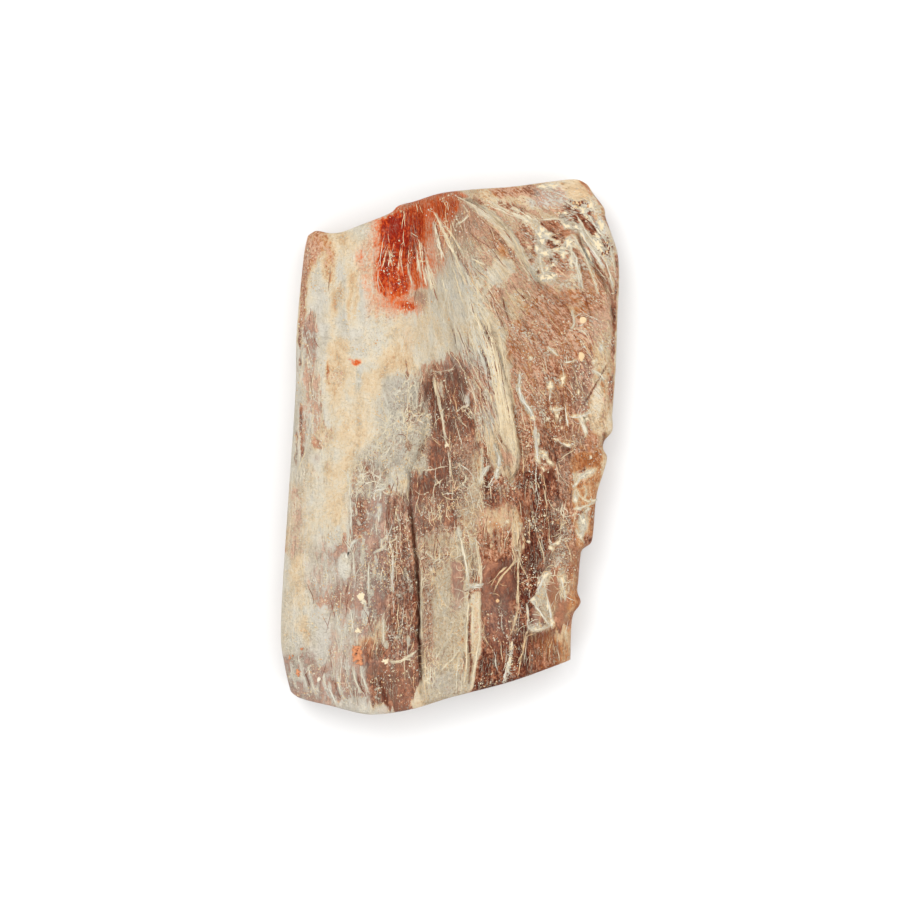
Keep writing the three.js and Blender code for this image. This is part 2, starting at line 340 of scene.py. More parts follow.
# The plan's fields, with the value that each starts from.
tissue = {
    "fat": 0.1,  # how much fat covers the meat
    "fat_tone": 0.35,  # from frosted white, over cream and tan, to amber
    "lean_tone": 0.45,  # from pale pink, over mauve, to dark maroon
    "blood": 0.0,
    "frost": 0.1,
    "veil": 0.0,  # a milky film, which greys and softens what is under it
    "mottle": 1.0,  # how speckled the fat and the lean are
    "hairs": 0.5,  # how many pale hairs, and cracks of painted shade, run along the fibres
    "curls": 0.0,  # how many curled hairs lie on it
    "torn": 0.0,  # how crumbly it is, with dark crumbs
    "crease_shade": 0.0,  # painted shade in gaps and creases, which also sinks them a little
    "lift": 0.0,  # millimetres that stand out of the top
}
tissue = {name: np.full(PLAN_X.shape, value) for name, value in tissue.items()}


def window(points, margin):
    """The cells round some points, as slices of the plan."""
    low = np.min(points, axis=0) - margin
    high = np.max(points, axis=0) + margin
    i0, i1 = np.clip((np.array([low[0], high[0]]) - CELLS_X[0]) / CELL, 0, len(CELLS_X)).astype(int)
    j0, j1 = np.clip((np.array([low[1], high[1]]) - CELLS_Y[0]) / CELL, 0, len(CELLS_Y)).astype(int)
    return np.s_[j0 : j1 + 1, i0 : i1 + 1]


def lay(cells, mask, look):
    """Lays a look over the cells, as far as the mask lets it."""
    for name, value in look.items():
        field = tissue[name]
        if name == "lift":
            field[cells] += value * mask
        else:
            field[cells] = lerp(field[cells], value, mask)


def area(look, soft, *outline, ragged=1.0):
    """Lays a look inside a closed outline, whose edge is as ragged as asked."""
    p = np.array(outline, float)
    cells = window(p, soft + FRINGE)
    x = lerp(FINE_X, RAGGED_X, ragged)[cells]
    y = lerp(FINE_Y, RAGGED_Y, ragged)[cells]
    inside = np.zeros(x.shape, bool)
    distance = np.full(x.shape, np.inf)
    for a, b in zip(p, np.roll(p, -1, axis=0)):
        d = b - a
        t = np.clip(((x - a[0]) * d[0] + (y - a[1]) * d[1]) / (d @ d), 0, 1)
        distance = np.minimum(distance, np.hypot(x - a[0] - t * d[0], y - a[1] - t * d[1]))
        crosses = (a[1] > y) != (b[1] > y)
        rise = d[1] if abs(d[1]) > 1e-9 else 1e-9
        inside ^= crosses & (x < a[0] + (y - a[1]) * d[0] / rise)
    lay(cells, smoothstep(-soft, soft, np.where(inside, distance, -distance)), look)


def spot(look, at, half, tilt=0, soft=0.5):
    """Lays a look inside an oval; a tilt turns its top to the left, in degrees."""
    reach = max(half) * (1 + soft) + FRINGE
    cells = window(np.array([at]), reach)
    fine = max(half) < SMALL_SPOT
    x = (FINE_X if fine else RAGGED_X)[cells] - at[0]
    y = (FINE_Y if fine else RAGGED_Y)[cells] - at[1]
    c = math.cos(math.radians(tilt))
    s = math.sin(math.radians(tilt))
    radius = np.hypot((x * c + y * s) / half[0], (y * c - x * s) / half[1])
    lay(cells, smoothstep(1 + soft, 1 - soft, radius), look)


# What stands out of the top. Cords: line, half-width and tone; drops: place, half-width and
# half-length, tilt, rise, tone and raggedness.
cords = []
drops = []


def strand(look, half, *points, soft=0.5):
    """Lays a look along a line, which narrows to both its ends. One with a lift also becomes a
    cord in the mesh of strands, and one with a crease a dark cord, which is painted shade."""
    line = smooth_line(points)
    cells = window(line, 1.4 * half + soft + 2)
    x = FINE_X[cells]
    y = FINE_Y[cells]
    distance, _, along = from_line(line, x, y)
    reach = half * (1 - (2 * along - 1) ** 4) * (0.6 + 0.8 * lumps(x / 2.2, y / 2.2, 5))
    mask = smoothstep(reach + soft, reach - soft, distance) * smoothstep(0, 0.35 * half, reach)
    if "lift" in look:
        cords.append((line, half, look["fat_tone"]))
    elif look.get("crease_shade", 0) > 0:
        cords.append((line, SHADE_CORD_SHARE * half, DARK_TONE))
    lay(cells, mask, look)


def drop(tone, at, half, tilt, rise, ragged=0.0):
    """Puts a low dome of fat, frost or meat on the top."""
    drops.append((at, half, tilt, rise, tone, ragged))


def flakes(bits, tone=0.32, rise=0.2):
    """Lays ragged bits of torn white membrane: x, y, half-width, half-length and tilt of each."""
    for x, y, across, along, tilt in bits:
        spot(WHITE, (x, y), (across, along), tilt)
        drop(tone, (x, y), (0.85 * across, 0.85 * along), tilt, rise, ragged=0.45)


def spots(look, soft, *ovals):
    """Lays a look in several ovals: x, y, half-width, half-length and any tilt of each."""
    for x, y, across, along, *tilt in ovals:
        spot(look, (x, y), (across, along), *tilt, soft=soft)


def fan(look, half, count, first, last, seed):
    """Lays strands side by side between two guide lines of as many points."""
    draw = np.random.default_rng(seed)
    first = np.array(first, float)
    last = np.array(last, float)
    for share in (np.arange(count) + 0.5) / count:
        line = smooth_line(lerp(first, last, share + draw.normal(0, 0.3) / count))
        start = int(draw.uniform(0, 0.25) * len(line))
        end = max(int(draw.uniform(0.75, 1) * len(line)), start + 3)
        strand(look, half * draw.uniform(0.6, 1.3), *line[start:end:3])


def strands(look, *lines):
    """Lays several strands, each given as its half-width and then its points."""
    for half, *points in lines:
        strand(look, half, *points)


# The looks that most tissue is laid with; what a place has of its own is set beside them.
CREAM = dict(fat=1.35, fat_tone=0.4, frost=0, veil=0, hairs=0.1, lean_tone=0.3, mottle=0.35)
TAN = dict(fat=1.2, fat_tone=0.54, frost=0, veil=0, lean_tone=0.25, mottle=0.4)
AMBER = dict(fat=1.0, fat_tone=0.82, frost=0, veil=0, lean_tone=0.3, hairs=0.3, curls=0,
             mottle=0.6)
FILM = dict(fat=1.2, fat_tone=0.1, frost=0.2, hairs=0.15, mottle=0.3)
WHITE = dict(fat=1.3, fat_tone=0.05, frost=0.5, crease_shade=0, mottle=0.6)
PALE = dict(fat=1.2, fat_tone=0.25, frost=0.3, crease_shade=0, mottle=0.6)
PINK = dict(fat=0.3, fat_tone=0.4, lean_tone=0.12, frost=0.1, veil=0, mottle=1)
MUSCLE = dict(fat=0.25, fat_tone=0.7, lean_tone=0.3, frost=0.15, veil=0, hairs=0.45, curls=0,
              mottle=1)
BROWN = dict(fat=0.1, fat_tone=0.6, lean_tone=0.5, frost=0.1, veil=0, hairs=0.6, mottle=0.7)
DARK = dict(fat=0.05, fat_tone=0.55, lean_tone=0.68, frost=0.1, veil=0, hairs=0.7, mottle=0.7)
MAROON = dict(fat=-0.3, fat_tone=0.6, lean_tone=0.78, frost=0, veil=0, hairs=0.5, mottle=0.6)
MAUVE = dict(fat=0.22, fat_tone=0.1, lean_tone=0.56, veil=0.44, frost=0.12, hairs=0.45,
             mottle=0.3)
FUZZ = dict(fat=0.75, fat_tone=0, lean_tone=0.52, veil=0.46, frost=0.3, hairs=0.1, curls=1.7,
            mottle=0.8)
NET = dict(fat=0.55, fat_tone=0.5, lean_tone=0.42, frost=0.1, veil=0, hairs=0.5, curls=1,
           mottle=1)
# Painted shade in gaps, with their fat and frost cleared.
GAP_SHADE = dict(crease_shade=0.85, fat=0, frost=0)
SMOOTH = dict(mottle=0.15, hairs=0.15, curls=0, frost=-0.4)
# Fainter painted shade along thin dark lines.
SHADE_LINE = dict(crease_shade=0.5)


def lay_top_left():
    """The thin fat sheet at the top, its peach corner and the brick band down its edge."""
    area(CREAM | dict(fat_tone=0.26), 3, (-80, 42), (-76, 96), (-72, 112),
         (-40, 114), (-30, 110), (-36, 84), (-20, 66), (-10, 70), (-4, 100), (10, 74), (14, 52),
         (4, 48), (-8, 44), (-20, 36), (-60, 36))
    area(dict(fat=0.6, fat_tone=0.76, lean_tone=0.16, hairs=0.1, mottle=0.9), 2, (-74, 110),
         (-61, 108), (-57, 100), (-53, 95), (-54, 90), (-58, 83), (-62, 84), (-64, 91),
         (-68, 88), (-70, 80), (-76, 80), ragged=0.6)
    spot(dict(lean_tone=0.26, fat=0.3, blood=0.06), (-68.5, 97), (3, 8), soft=0.7)
    spot(TAN | dict(fat_tone=0.46), (-53, 101), (5, 5), soft=0.8)
    spot(FILM, (-43, 107), (6, 4), 20, soft=0.6)
    spots(FILM | dict(fat_tone=0.02, veil=0.2), 0.7,
          (-65, 76, 3.6, 14), (-54.4, 86, 2.4, 10), (-63, 55, 3, 15), (-43, 72, 3, 9),
          (-53, 62, 3, 9), (-47, 54, 4, 4))
    spot(PINK | dict(fat=0.8, fat_tone=0.6), (-59.5, 86), (2.6, 4), soft=0.8)
    spots(dict(fat_tone=0.6), 0.9,
          (-50, 75, 1, 9), (-46.8, 76, 1, 10), (-54, 77, 1.2, 4), (-48.4, 84, 2, 3),
          (-57, 71, 1.4, 6))
    spot(dict(fat=0.85, fat_tone=0.14, lean_tone=0.4, mottle=0.8), (-37, 55), (6, 7), soft=0.9)
    spot(dict(fat_tone=0.34), (-10, 56), (10, 12), soft=0.8)
    strand(dict(fat=0.3, lean_tone=0.36, fat_tone=0.7, frost=0.2, hairs=0.4, mottle=1), 1.8,
           (-70.8, 104), (-71.4, 92), (-72.6, 80), (-73.6, 64), (-74.8, 46), soft=0.9)
    area(dict(fat=0.4, lean_tone=0.5, fat_tone=0.1, veil=0.4, hairs=0.5, mottle=0.8), 1.2,
         (-73.5, 62), (-70, 66), (-66, 68), (-65.4, 50), (-68, 42), (-73.5, 46), ragged=0.4)
    spot(dict(lean_tone=0.2, fat=0.5, veil=0.1), (-67.5, 66), (1.6, 4), soft=0.7)


def lay_left_edge():
    """Films and bands down the slab's rounded left edge."""
    area(FILM | dict(fat=1, veil=0.2, lean_tone=0.4, hairs=0.5), 3, (-88, 48), (-77, 50),
         (-68, 46), (-66, 10), (-70, -24), (-78, -40), (-88, -50))
    spot(MAUVE | dict(lean_tone=0.4, veil=0.25), (-69, 46), (3, 14), soft=0.7)
    for at, half, tone in [((-70, 30), (1.6, 14), 0.4), ((-66, 30), (3, 8), 0.2),
                           ((-66, 14), (2.4, 9), 0.36), ((-72.4, 12), (1, 14), 0.4)]:
        spot(PINK | dict(fat=0.45, fat_tone=0.2, lean_tone=tone, veil=0.25, mottle=0.6), at, half,
             soft=0.9)
    area(PINK | dict(fat=0.6, fat_tone=0.5, lean_tone=0.26, mottle=0.5), 2, (-69, -1),
         (-60.6, -2), (-60, 8), (-63, 16), (-66, 8), (-69, 4), ragged=0.4)
    spot(dict(fat=0.3, lean_tone=0.34, blood=0.15), (-66.6, 2), (2.2, 2.4), soft=0.7)
    strands(FILM, (1.6, (-64.6, 58), (-63.8, 44), (-63.4, 34)),
            (1.5, (-63, 36), (-62, 26), (-60.6, 16), (-60, 8)),
            (1.2, (-60, 28), (-59, 20), (-57.4, 11)), (0.9, (-74.8, 10), (-74.4, -4), (-73, -20)),
            (1, (-78, 10), (-79, -10), (-80, -26)))
    strands(dict(fat=0.1, lean_tone=0.56, veil=0.1), (0.6, (-76.2, 11), (-76, 0), (-76.6, -10)),
            (0.9, (-73.9, 23), (-74, 8), (-72.8, -7)), (0.7, (-74.6, 45), (-74.3, 40)),
            (0.8, (-75, 62), (-74.6, 48)))
    area(TAN | dict(fat_tone=0.58, hairs=0.3, fat=0.9), 3, (-71, -8), (-66, -14), (-60, -10),
         (-60, -30), (-70, -30))
    area(FILM | dict(fat_tone=0.0, mottle=0.2), 0.8, (-69, -1.4), (-64, -1.4), (-60, -4),
         (-61.6, -9), (-65, -14), (-68, -10), (-69.4, -5), ragged=0.25)
    spot(dict(veil=0.6, fat=0.6, lean_tone=0.3), (-66, -5.6), (1.9, 2.2), soft=0.5)
    area(TAN | dict(hairs=0.2, fat_tone=0.5), 4, (-80, -18), (-70, -18), (-62, -26), (-50, -28),
         (-50, -42), (-57, -50), (-66, -56), (-68, -74), (-70, -95), (-79, -95), (-82, -60))
    area(PINK | dict(fat=0.55, lean_tone=0.26, veil=0.3, hairs=0.4, mottle=0.9), 3,
         (-80, -18), (-72, -18), (-72, -52), (-80, -56), ragged=0.6)
    spot(dict(fat_tone=0.42), (-59, -36), (7, 8), soft=0.9)
    spot(FILM | dict(fat_tone=0.1), (-70.4, -19), (1.2, 6), soft=0.7)
    strands(PALE | dict(frost=0), (0.8, (-71.4, -30), (-71.6, -52), (-70.8, -90)),
            (0.5, (-77.4, -66), (-77.4, -78), (-76.8, -92)), (0.5, (-79.4, -70), (-79, -90)),
            (0.9, (-69, -62), (-68.6, -78), (-68, -92)))
    area(FILM | dict(veil=0.2), 2, (-88, -50), (-80.6, -50), (-80, -92), (-79, -120), (-88, -124))
    # Pale film along the bottom-left edge: partly frost, partly painted light on the rounded edge,
    # which the lamps leave in shade.
    area(FILM | dict(fat_tone=0, fat=1), 1.4, (-80, -118), (-60, -127), (-36, -130),
         (-34, -138), (-84, -134), ragged=0.4)
    spot(dict(fat_tone=0.2), (-66, -25), (6, 26), soft=0.9)
    # Painted light: the lower left edge made paler where its rounding falls into shade.
    spot(dict(veil=0.05, fat=1.2, fat_tone=0.2), (-80, -92), (6, 26), soft=0.9)


def lay_pad():
    """The thick cream pad on the left and the frosted fuzz over its right-hand side."""
    area(CREAM | dict(fat_tone=0.36), 4, (-62, 34), (-52, 42), (-40, 40), (-30, 32), (-32, 12),
         (-34, 2), (-42, -4), (-49, -14), (-49, -32), (-60, -32), (-60, -10), (-58, 4), (-60, 16))
    spot(CREAM | dict(fat_tone=0.3), (-44, 16), (9, 14), soft=0.9)
    spot(dict(fat_tone=0.46), (-50, 0), (7, 8), soft=0.9)
    spot(dict(fat_tone=0.42), (-56, -18), (5, 10), soft=0.8)
    spot(FILM | dict(fat_tone=0.2), (-57, -3), (4, 4), soft=0.9)
    area(TAN | dict(fat_tone=0.5, fat=0.95, lean_tone=0.2, mottle=0.5), 2, (-61, 51), (-55, 54),
         (-50, 52), (-50.6, 44), (-51, 34), (-54, 28), (-57, 24), (-60, 30), ragged=0.4)
    spot(TAN | dict(fat_tone=0.44), (-53.4, 49), (3.4, 4), soft=0.7)
    spot(PINK | dict(fat=0.6, lean_tone=0.1), (-56, 35), (2.6, 5), soft=0.8)
    strand(dict(fat_tone=0.9, lean_tone=0.5, fat=0.4), 0.5, (-60.4, 44), (-60.6, 36), (-60, 30))
    spot(dict(fat_tone=0.5), (-39.6, 33), (5, 5), soft=0.8)
    spot(FILM | dict(fat_tone=0.14), (-38, 39.6), (6, 2), soft=0.8)
    area(TAN | dict(fat_tone=0.52), 4, (-34, 48), (-22, 52), (-18, 44), (-20, 36), (-28, 36),
         (-34, 34))
    spot(dict(blood=0.12), (-21, 54), (3, 8), soft=0.9)
    spot(CREAM | dict(fat_tone=0.22), (-10, 50), (8, 7), soft=0.8)
    spot(FILM | dict(fat_tone=0), (-45, 47), (4, 3), soft=0.8)
    spot(FILM | dict(fat_tone=0), (-45.2, 34), (1.7, 7), -3, soft=0.4)
    spot(dict(blood=0.66, fat_tone=0.9), (-46.2, 41.8), (2, 1.5), soft=0.6)
    strand(dict(blood=0.35), 0.6, (-51.4, 43.6), (-48.5, 43), (-46, 42))
    area(FUZZ, 3, (-33, 33), (-24, 36), (-17, 33), (-13, 30), (-11, 12), (-12, 2), (-13, -10),
         (-20, -12), (-20, -20), (-30, -22), (-30, -10), (-40, -4), (-33, 6), (-31, 18),
         ragged=0.7)
    spot(FILM | dict(fat_tone=0.06, curls=1), (-33, 17), (3, 13), -4, soft=0.8)
    spot(FILM | dict(fat_tone=0.04, curls=1), (-29, 31), (4, 4), soft=0.9)
    spot(FUZZ | dict(fat_tone=0.2, veil=0.2), (-34, -3), (6, 6), 40, soft=0.8)
    area(FUZZ | dict(fat=0.7, lean_tone=0.5, veil=0.4, hairs=0.5), 3, (-24, 32), (-17, 30),
         (-14, 12), (-22, 10), (-27, 20), ragged=0.8)
    spot(dict(lean_tone=0.6, veil=0.3, fat=0.1), (-19.4, 17), (2.4, 6), soft=0.9)
    area(FUZZ | dict(fat_tone=0.16, frost=0.5, veil=0.1, mottle=1), 2.4, (-22, 12),
         (-11, 12), (-10, 0), (-12, -12), (-20, -14), (-24, -4), ragged=0.7)
    spot(dict(fat=0.5, fat_tone=0.3, lean_tone=0.5, veil=0.1, hairs=0.6), (-13, 36), (3.4, 6),
         -30, soft=0.6)
    spots(DARK | dict(lean_tone=0.6), 0.6,
          (-20.4, 1, 1.3, 2.4), (-14.6, 26, 1.2, 4.4), (-14.6, 17, 1.3, 3), (-11, 3, 1.4, 2.4),
          (-15.4, -5, 1, 1.6), (-14, -1, 1.6, 2), (-21, 17, 1, 2), (-20, 12.6, 1.4, 1),
          (-21, 36, 1, 1.6))
    area(FUZZ | dict(fat=0.6, lean_tone=0.56, veil=0.5, hairs=0.6), 4, (-46, -3), (-38, -1),
         (-33, -10), (-31, -20), (-36, -24), (-46, -24), ragged=0.7)
    spot(DARK | dict(lean_tone=0.6, veil=0.35, curls=0.6), (-39.6, -13), (3, 5), 30, soft=0.9)
    strand(dict(crease_shade=0.2, veil=0.1), 0.9, (-42.6, -7), (-40.5, -12), (-36, -18), soft=1)
    spot(FILM | dict(fat_tone=0.14, veil=0, lift=0.8, curls=0.3), (-25.4, -16.4), (4.8, 7.4),
         soft=0.16)
    spot(CREAM | dict(fat_tone=0.3), (-23.5, -21), (2.6, 3), soft=0.8)
    spot(dict(frost=0, fat_tone=0.66), (-22.8, -17), (1.8, 1), soft=0.8)
    strands(DARK, (0.7, (-26, -22), (-25.4, -26)), (0.7, (-30, -18), (-30.2, -24)))
    spot(FILM | dict(fat_tone=0.04, lift=0.4), (-35, -20.8), (3, 2), 10, soft=0.3)
    strands(WHITE | dict(lift=0.3), (1, (-36.6, -21), (-37, -24), (-36.6, -27)),
            (0.7, (-35, -21), (-34.4, -24), (-35.4, -27.4)),
            (0.8, (-38.6, -22.6), (-36, -21.4), (-31.5, -20.2)),
            (0.6, (-38.6, 0), (-36, 0.6), (-34.4, -0.4)), (0.5, (-33, 30), (-31, 20), (-31.4, 12)),
            (0.5, (-30, 12), (-33, 6), (-36, 2)), (0.4, (-28, 4), (-31, -2), (-34, -6)),
            (0.6, (-50.3, -12), (-49.4, -24), (-48.4, -46)))


def lay_stain():
    """The blood at the top end, and the strands that fan out of it."""
    area(dict(fat=1, fat_tone=0.3, blood=0.16, hairs=0.2, mottle=0.6), 5, (-40, 113), (-10, 126),
         (8, 124), (8, 108), (-2, 96), (-8, 88), (-9, 76), (-18, 66), (-40, 67), (-46, 80),
         (-44, 98))
    spot(dict(blood=0.32), (-41, 93.6), (6, 5), -15, soft=0.9)
    spot(dict(blood=0.42), (-42, 93.6), (3, 2.4), -15, soft=0.9)
    spot(dict(blood=0.42), (-39, 86), (3.6, 7), soft=0.9)
    spot(dict(blood=0.4), (-36, 105), (3.4, 9), soft=0.9)
    area(dict(blood=0.54, fat=0.6), 2.4, (-14, 118), (-6, 125), (6, 122), (8, 113), (0, 107),
         (-4, 96), (-9, 92), (-11, 80), (-17, 77), (-20, 90), (-18, 104), ragged=0.5)
    area(dict(fat=0.3, blood=0.68, hairs=0.6, mottle=1.2), 1.6, (-34, 111), (-27, 119),
         (-20, 122), (-14, 120), (-13.5, 108), (-15.5, 96), (-18, 84), (-22, 74), (-29, 73),
         (-36, 80), (-37, 88), (-34, 94), (-33, 101), (-35, 105), ragged=0.5)
    area(dict(fat=0, blood=1.08, hairs=0.2), 2, (-33, 112), (-27, 115.5), (-21.5, 113),
         (-19.6, 104), (-21, 99), (-28, 99.5), (-33, 102), (-34.4, 106), ragged=0.7)
    spot(dict(blood=1.2), (-28.4, 108), (3, 5), soft=0.8)
    spot(dict(blood=1.1), (-24, 103.5), (4, 3), soft=0.8)
    spot(dict(fat=0.3, blood=0.8, frost=0.4), (-20, 117.6), (6, 4), -20, soft=0.6)
    spot(dict(fat=0.3, blood=0.86, frost=0.4), (-16.6, 110), (3, 7), soft=0.6)
    area(dict(fat=0, blood=0.84, hairs=0.3), 2, (-37, 91), (-34, 94), (-30, 91.6),
         (-27, 88), (-20.5, 86), (-21.4, 76), (-28, 73), (-33, 76), (-37, 84), ragged=0.7)
    spot(dict(blood=0.72), (-27, 80), (6, 5), soft=0.8)
    spot(dict(blood=0.92), (-33, 88), (3, 4), soft=0.7)
    spot(dict(blood=0.9), (-25, 78), (2.4, 3), soft=0.8)
    spot(dict(blood=0.8), (-28, 93), (3, 5), soft=0.8)
    spot(dict(fat=0.2, blood=0.66, mottle=1.2), (-0.4, 116), (6.4, 5.4), -20, soft=0.5)
    spot(dict(blood=0.92), (-10, 120.6), (3, 2.4), -20, soft=0.6)
    # Painted shadow: a grey-brown patch below the right of the stain.
    spot(dict(blood=0.1, fat=0.4, lean_tone=0.5, fat_tone=0.6, hairs=0.5, veil=0.25),
         (-14.4, 73), (4.4, 4), soft=0.8)
    area(dict(blood=0.22, fat=0.6, lean_tone=0.3, mottle=1.4), 4, (-40, 76), (-30, 74),
         (-20, 73), (-16, 67), (-28, 64), (-40, 66))
    spot(dict(blood=0.4, mottle=1.6), (-25, 71), (9, 4), -10, soft=0.9)
    spot(dict(blood=0.75, mottle=1.6), (-21, 70), (4, 1.6), -12, soft=0.9)
    left = [(-31, 103), (-35, 94), (-38, 85)]
    right = [(-13, 104), (-10.5, 92), (-9, 79)]
    fan(dict(blood=0.2, fat=1, fat_tone=0.3, lift=0.1), 0.35, 9, left, right, 4)
    strand(dict(blood=0.4, fat=0.5, frost=0.3), 2.6, (-30, 116), (-20, 120.5), (-12, 123),
           (0, 125), (10, 124), soft=1)
    fan(dict(blood=1.0, crease_shade=0.12), 0.5, 12, left, right, 5)
    fan(PALE | dict(blood=0.1, lift=0.1), 0.4, 7, [(-14, 90), (-13, 82), (-12, 74)],
        [(-10, 90), (-7, 82), (-4, 72)], 6)
    strands(PALE | dict(blood=0.05, lift=0.2), (0.8, (-8.4, 112), (-7, 106), (-5, 99), (-3, 92)),
            (0.9, (-7.8, 117), (-4, 109), (-0.6, 101), (2, 95)),
            (0.7, (-13, 100), (-11.5, 92), (-10, 82), (-8, 74)),
            (0.5, (-30.6, 98), (-29.6, 94), (-28.8, 89)),
            (0.4, (-21.4, 92), (-20, 86), (-18.6, 80)), (0.4, (-17, 96), (-15, 88), (-14, 80)))
    for blood, at, half, tilt in [(0.22, (-40, 90), (4, 15), 0), (0.42, (1, 111), (7, 6), 0),
                                  (0.5, (-8, 96), (4.6, 9), 10), (0.6, (-10, 118), (10, 3), 18)]:
        spot(dict(blood=blood), at, half, tilt, soft=0.95)


def lay_top_middle():
    """The flecked pinkish muscle under the diagonal fold, and the pale strands below it."""
    area(PINK | dict(fat=0.36, lean_tone=0.2, hairs=0.7, mottle=1.3), 2, (-6, 118), (-2, 125),
         (12, 121), (23, 112), (34, 98), (40, 88), (46, 78), (30, 60), (24, 60), (12, 76),
         (2, 92), (-2, 102))
    area(dict(lean_tone=0.24, blood=0.14, fat=0.2), 2, (6, 122), (12, 119), (20, 111),
         (20, 103), (12, 102), (4, 100), (0, 108), ragged=0.5)
    area(CREAM | dict(fat=0.9, fat_tone=0.44, mottle=1), 1.2, (2, 127), (14, 122), (22, 120),
         (30, 123), (30, 132), (0, 132), ragged=0.5)
    spot(dict(lean_tone=0.3, fat=0.42, mottle=1.6), (10, 100), (7, 6), soft=0.8)
    area(BROWN | dict(lean_tone=0.3), 2, (20, 108), (25, 107), (34, 95), (32, 91),
         (26, 94), (20, 100), ragged=0.5)
    area(CREAM | dict(fat_tone=0.28, hairs=0.3), 2, (-10, 97), (0, 96), (5, 90), (8, 82),
         (11, 72), (15, 58), (8, 54), (-2, 56), (-10, 70), (-12, 84), ragged=0.6)
    spot(dict(fat_tone=0.5), (-4, 83), (2, 7), 15, soft=0.9)
    area(CREAM | dict(fat_tone=0.34, hairs=0.4, fat=1.1), 1.4, (18, 88), (22, 92), (30, 93),
         (32, 88), (28, 83), (22, 80), (17, 72), (12, 70), (13, 80), ragged=0.5)
    spot(AMBER | dict(fat_tone=0.88), (25.4, 96.4), (2.6, 3.4), 20, soft=0.6)
    strands(BROWN | dict(fat=0, lean_tone=0.34), (1, (18.4, 87), (17.4, 81), (14, 75)),
            (0.7, (24, 82), (21, 78), (17.6, 75)), (1.6, (24.5, 79), (23, 74), (20, 70)),
            (1, (5, 100), (9, 93), (12, 88)), (0.9, (-4, 106), (0, 99), (5, 90)))
    spot(dict(fat=0.7, fat_tone=0.5, lean_tone=0.2, mottle=1), (32, 71), (6, 7), soft=0.8)
    strands(PALE | dict(lift=0.2, fat_tone=0.3),
            (1, (-7.5, 117), (-3, 106), (1, 98), (4.6, 89), (7.6, 81), (9.8, 73)),
            (0.6, (-5, 113), (0, 106), (4.4, 99), (7, 94)),
            (0.5, (3, 110), (6.5, 112), (9.8, 116)), (0.4, (9.6, 116), (7, 119), (5, 121)),
            (0.6, (2, 125), (8, 122), (14, 118.6)), (0.8, (10, 72), (12, 66), (16, 57)),
            (0.6, (10, 95), (14, 92), (18, 90)), (0.5, (15, 74), (13.4, 78), (12.8, 84)),
            (0.5, (-8, 92), (-4, 82), (0, 72)), (0.5, (0, 92), (4, 80), (7, 70)))
    strands(SHADE_LINE, (0.3, (4, 124.6), (12, 120.4), (18, 116), (24, 110)),
            (0.6, (12, 95.4), (15.5, 91), (19, 86)), (0.7, (26, 108), (30, 103), (33.4, 95)),
            (0.6, (10.2, 73), (11.2, 67), (14, 60)),
            (0.6, (35, 93), (37.5, 88.5), (41, 83), (45, 77)),
            (0.5, (-7.6, 112), (-5, 103), (-3, 96)), (0.5, (9, 107), (14, 102), (17, 97)),
            (0.4, (-9, 84), (-8, 78), (-6, 72)), (0.4, (25.6, 78), (27, 70), (30, 60)))
    strands(PALE | dict(lift=0.3),
            (1.2, (16, 120), (24, 113), (31, 105), (34.6, 98), (38, 91), (44, 81)),
            (1, (18, 122), (28, 116.5), (36, 113), (42, 109)),
            (0.7, (30, 119), (36, 116), (42, 111)), (0.8, (23, 111), (29, 106), (33, 99)))
    # A cream band down the shoulder fold: partly a cream cord, partly painted light on the fold's
    # shaded step.
    strand(CREAM | dict(fat=1.1, fat_tone=0.34, lean_tone=0.2, crease_shade=0), 2.2, (6, 122.4),
           (16, 117), (24, 110), (31, 101.5), (36, 92), (40, 84), soft=0.9)
    spot(WHITE, (41.6, 86), (2.4, 4), 10, soft=0.7)


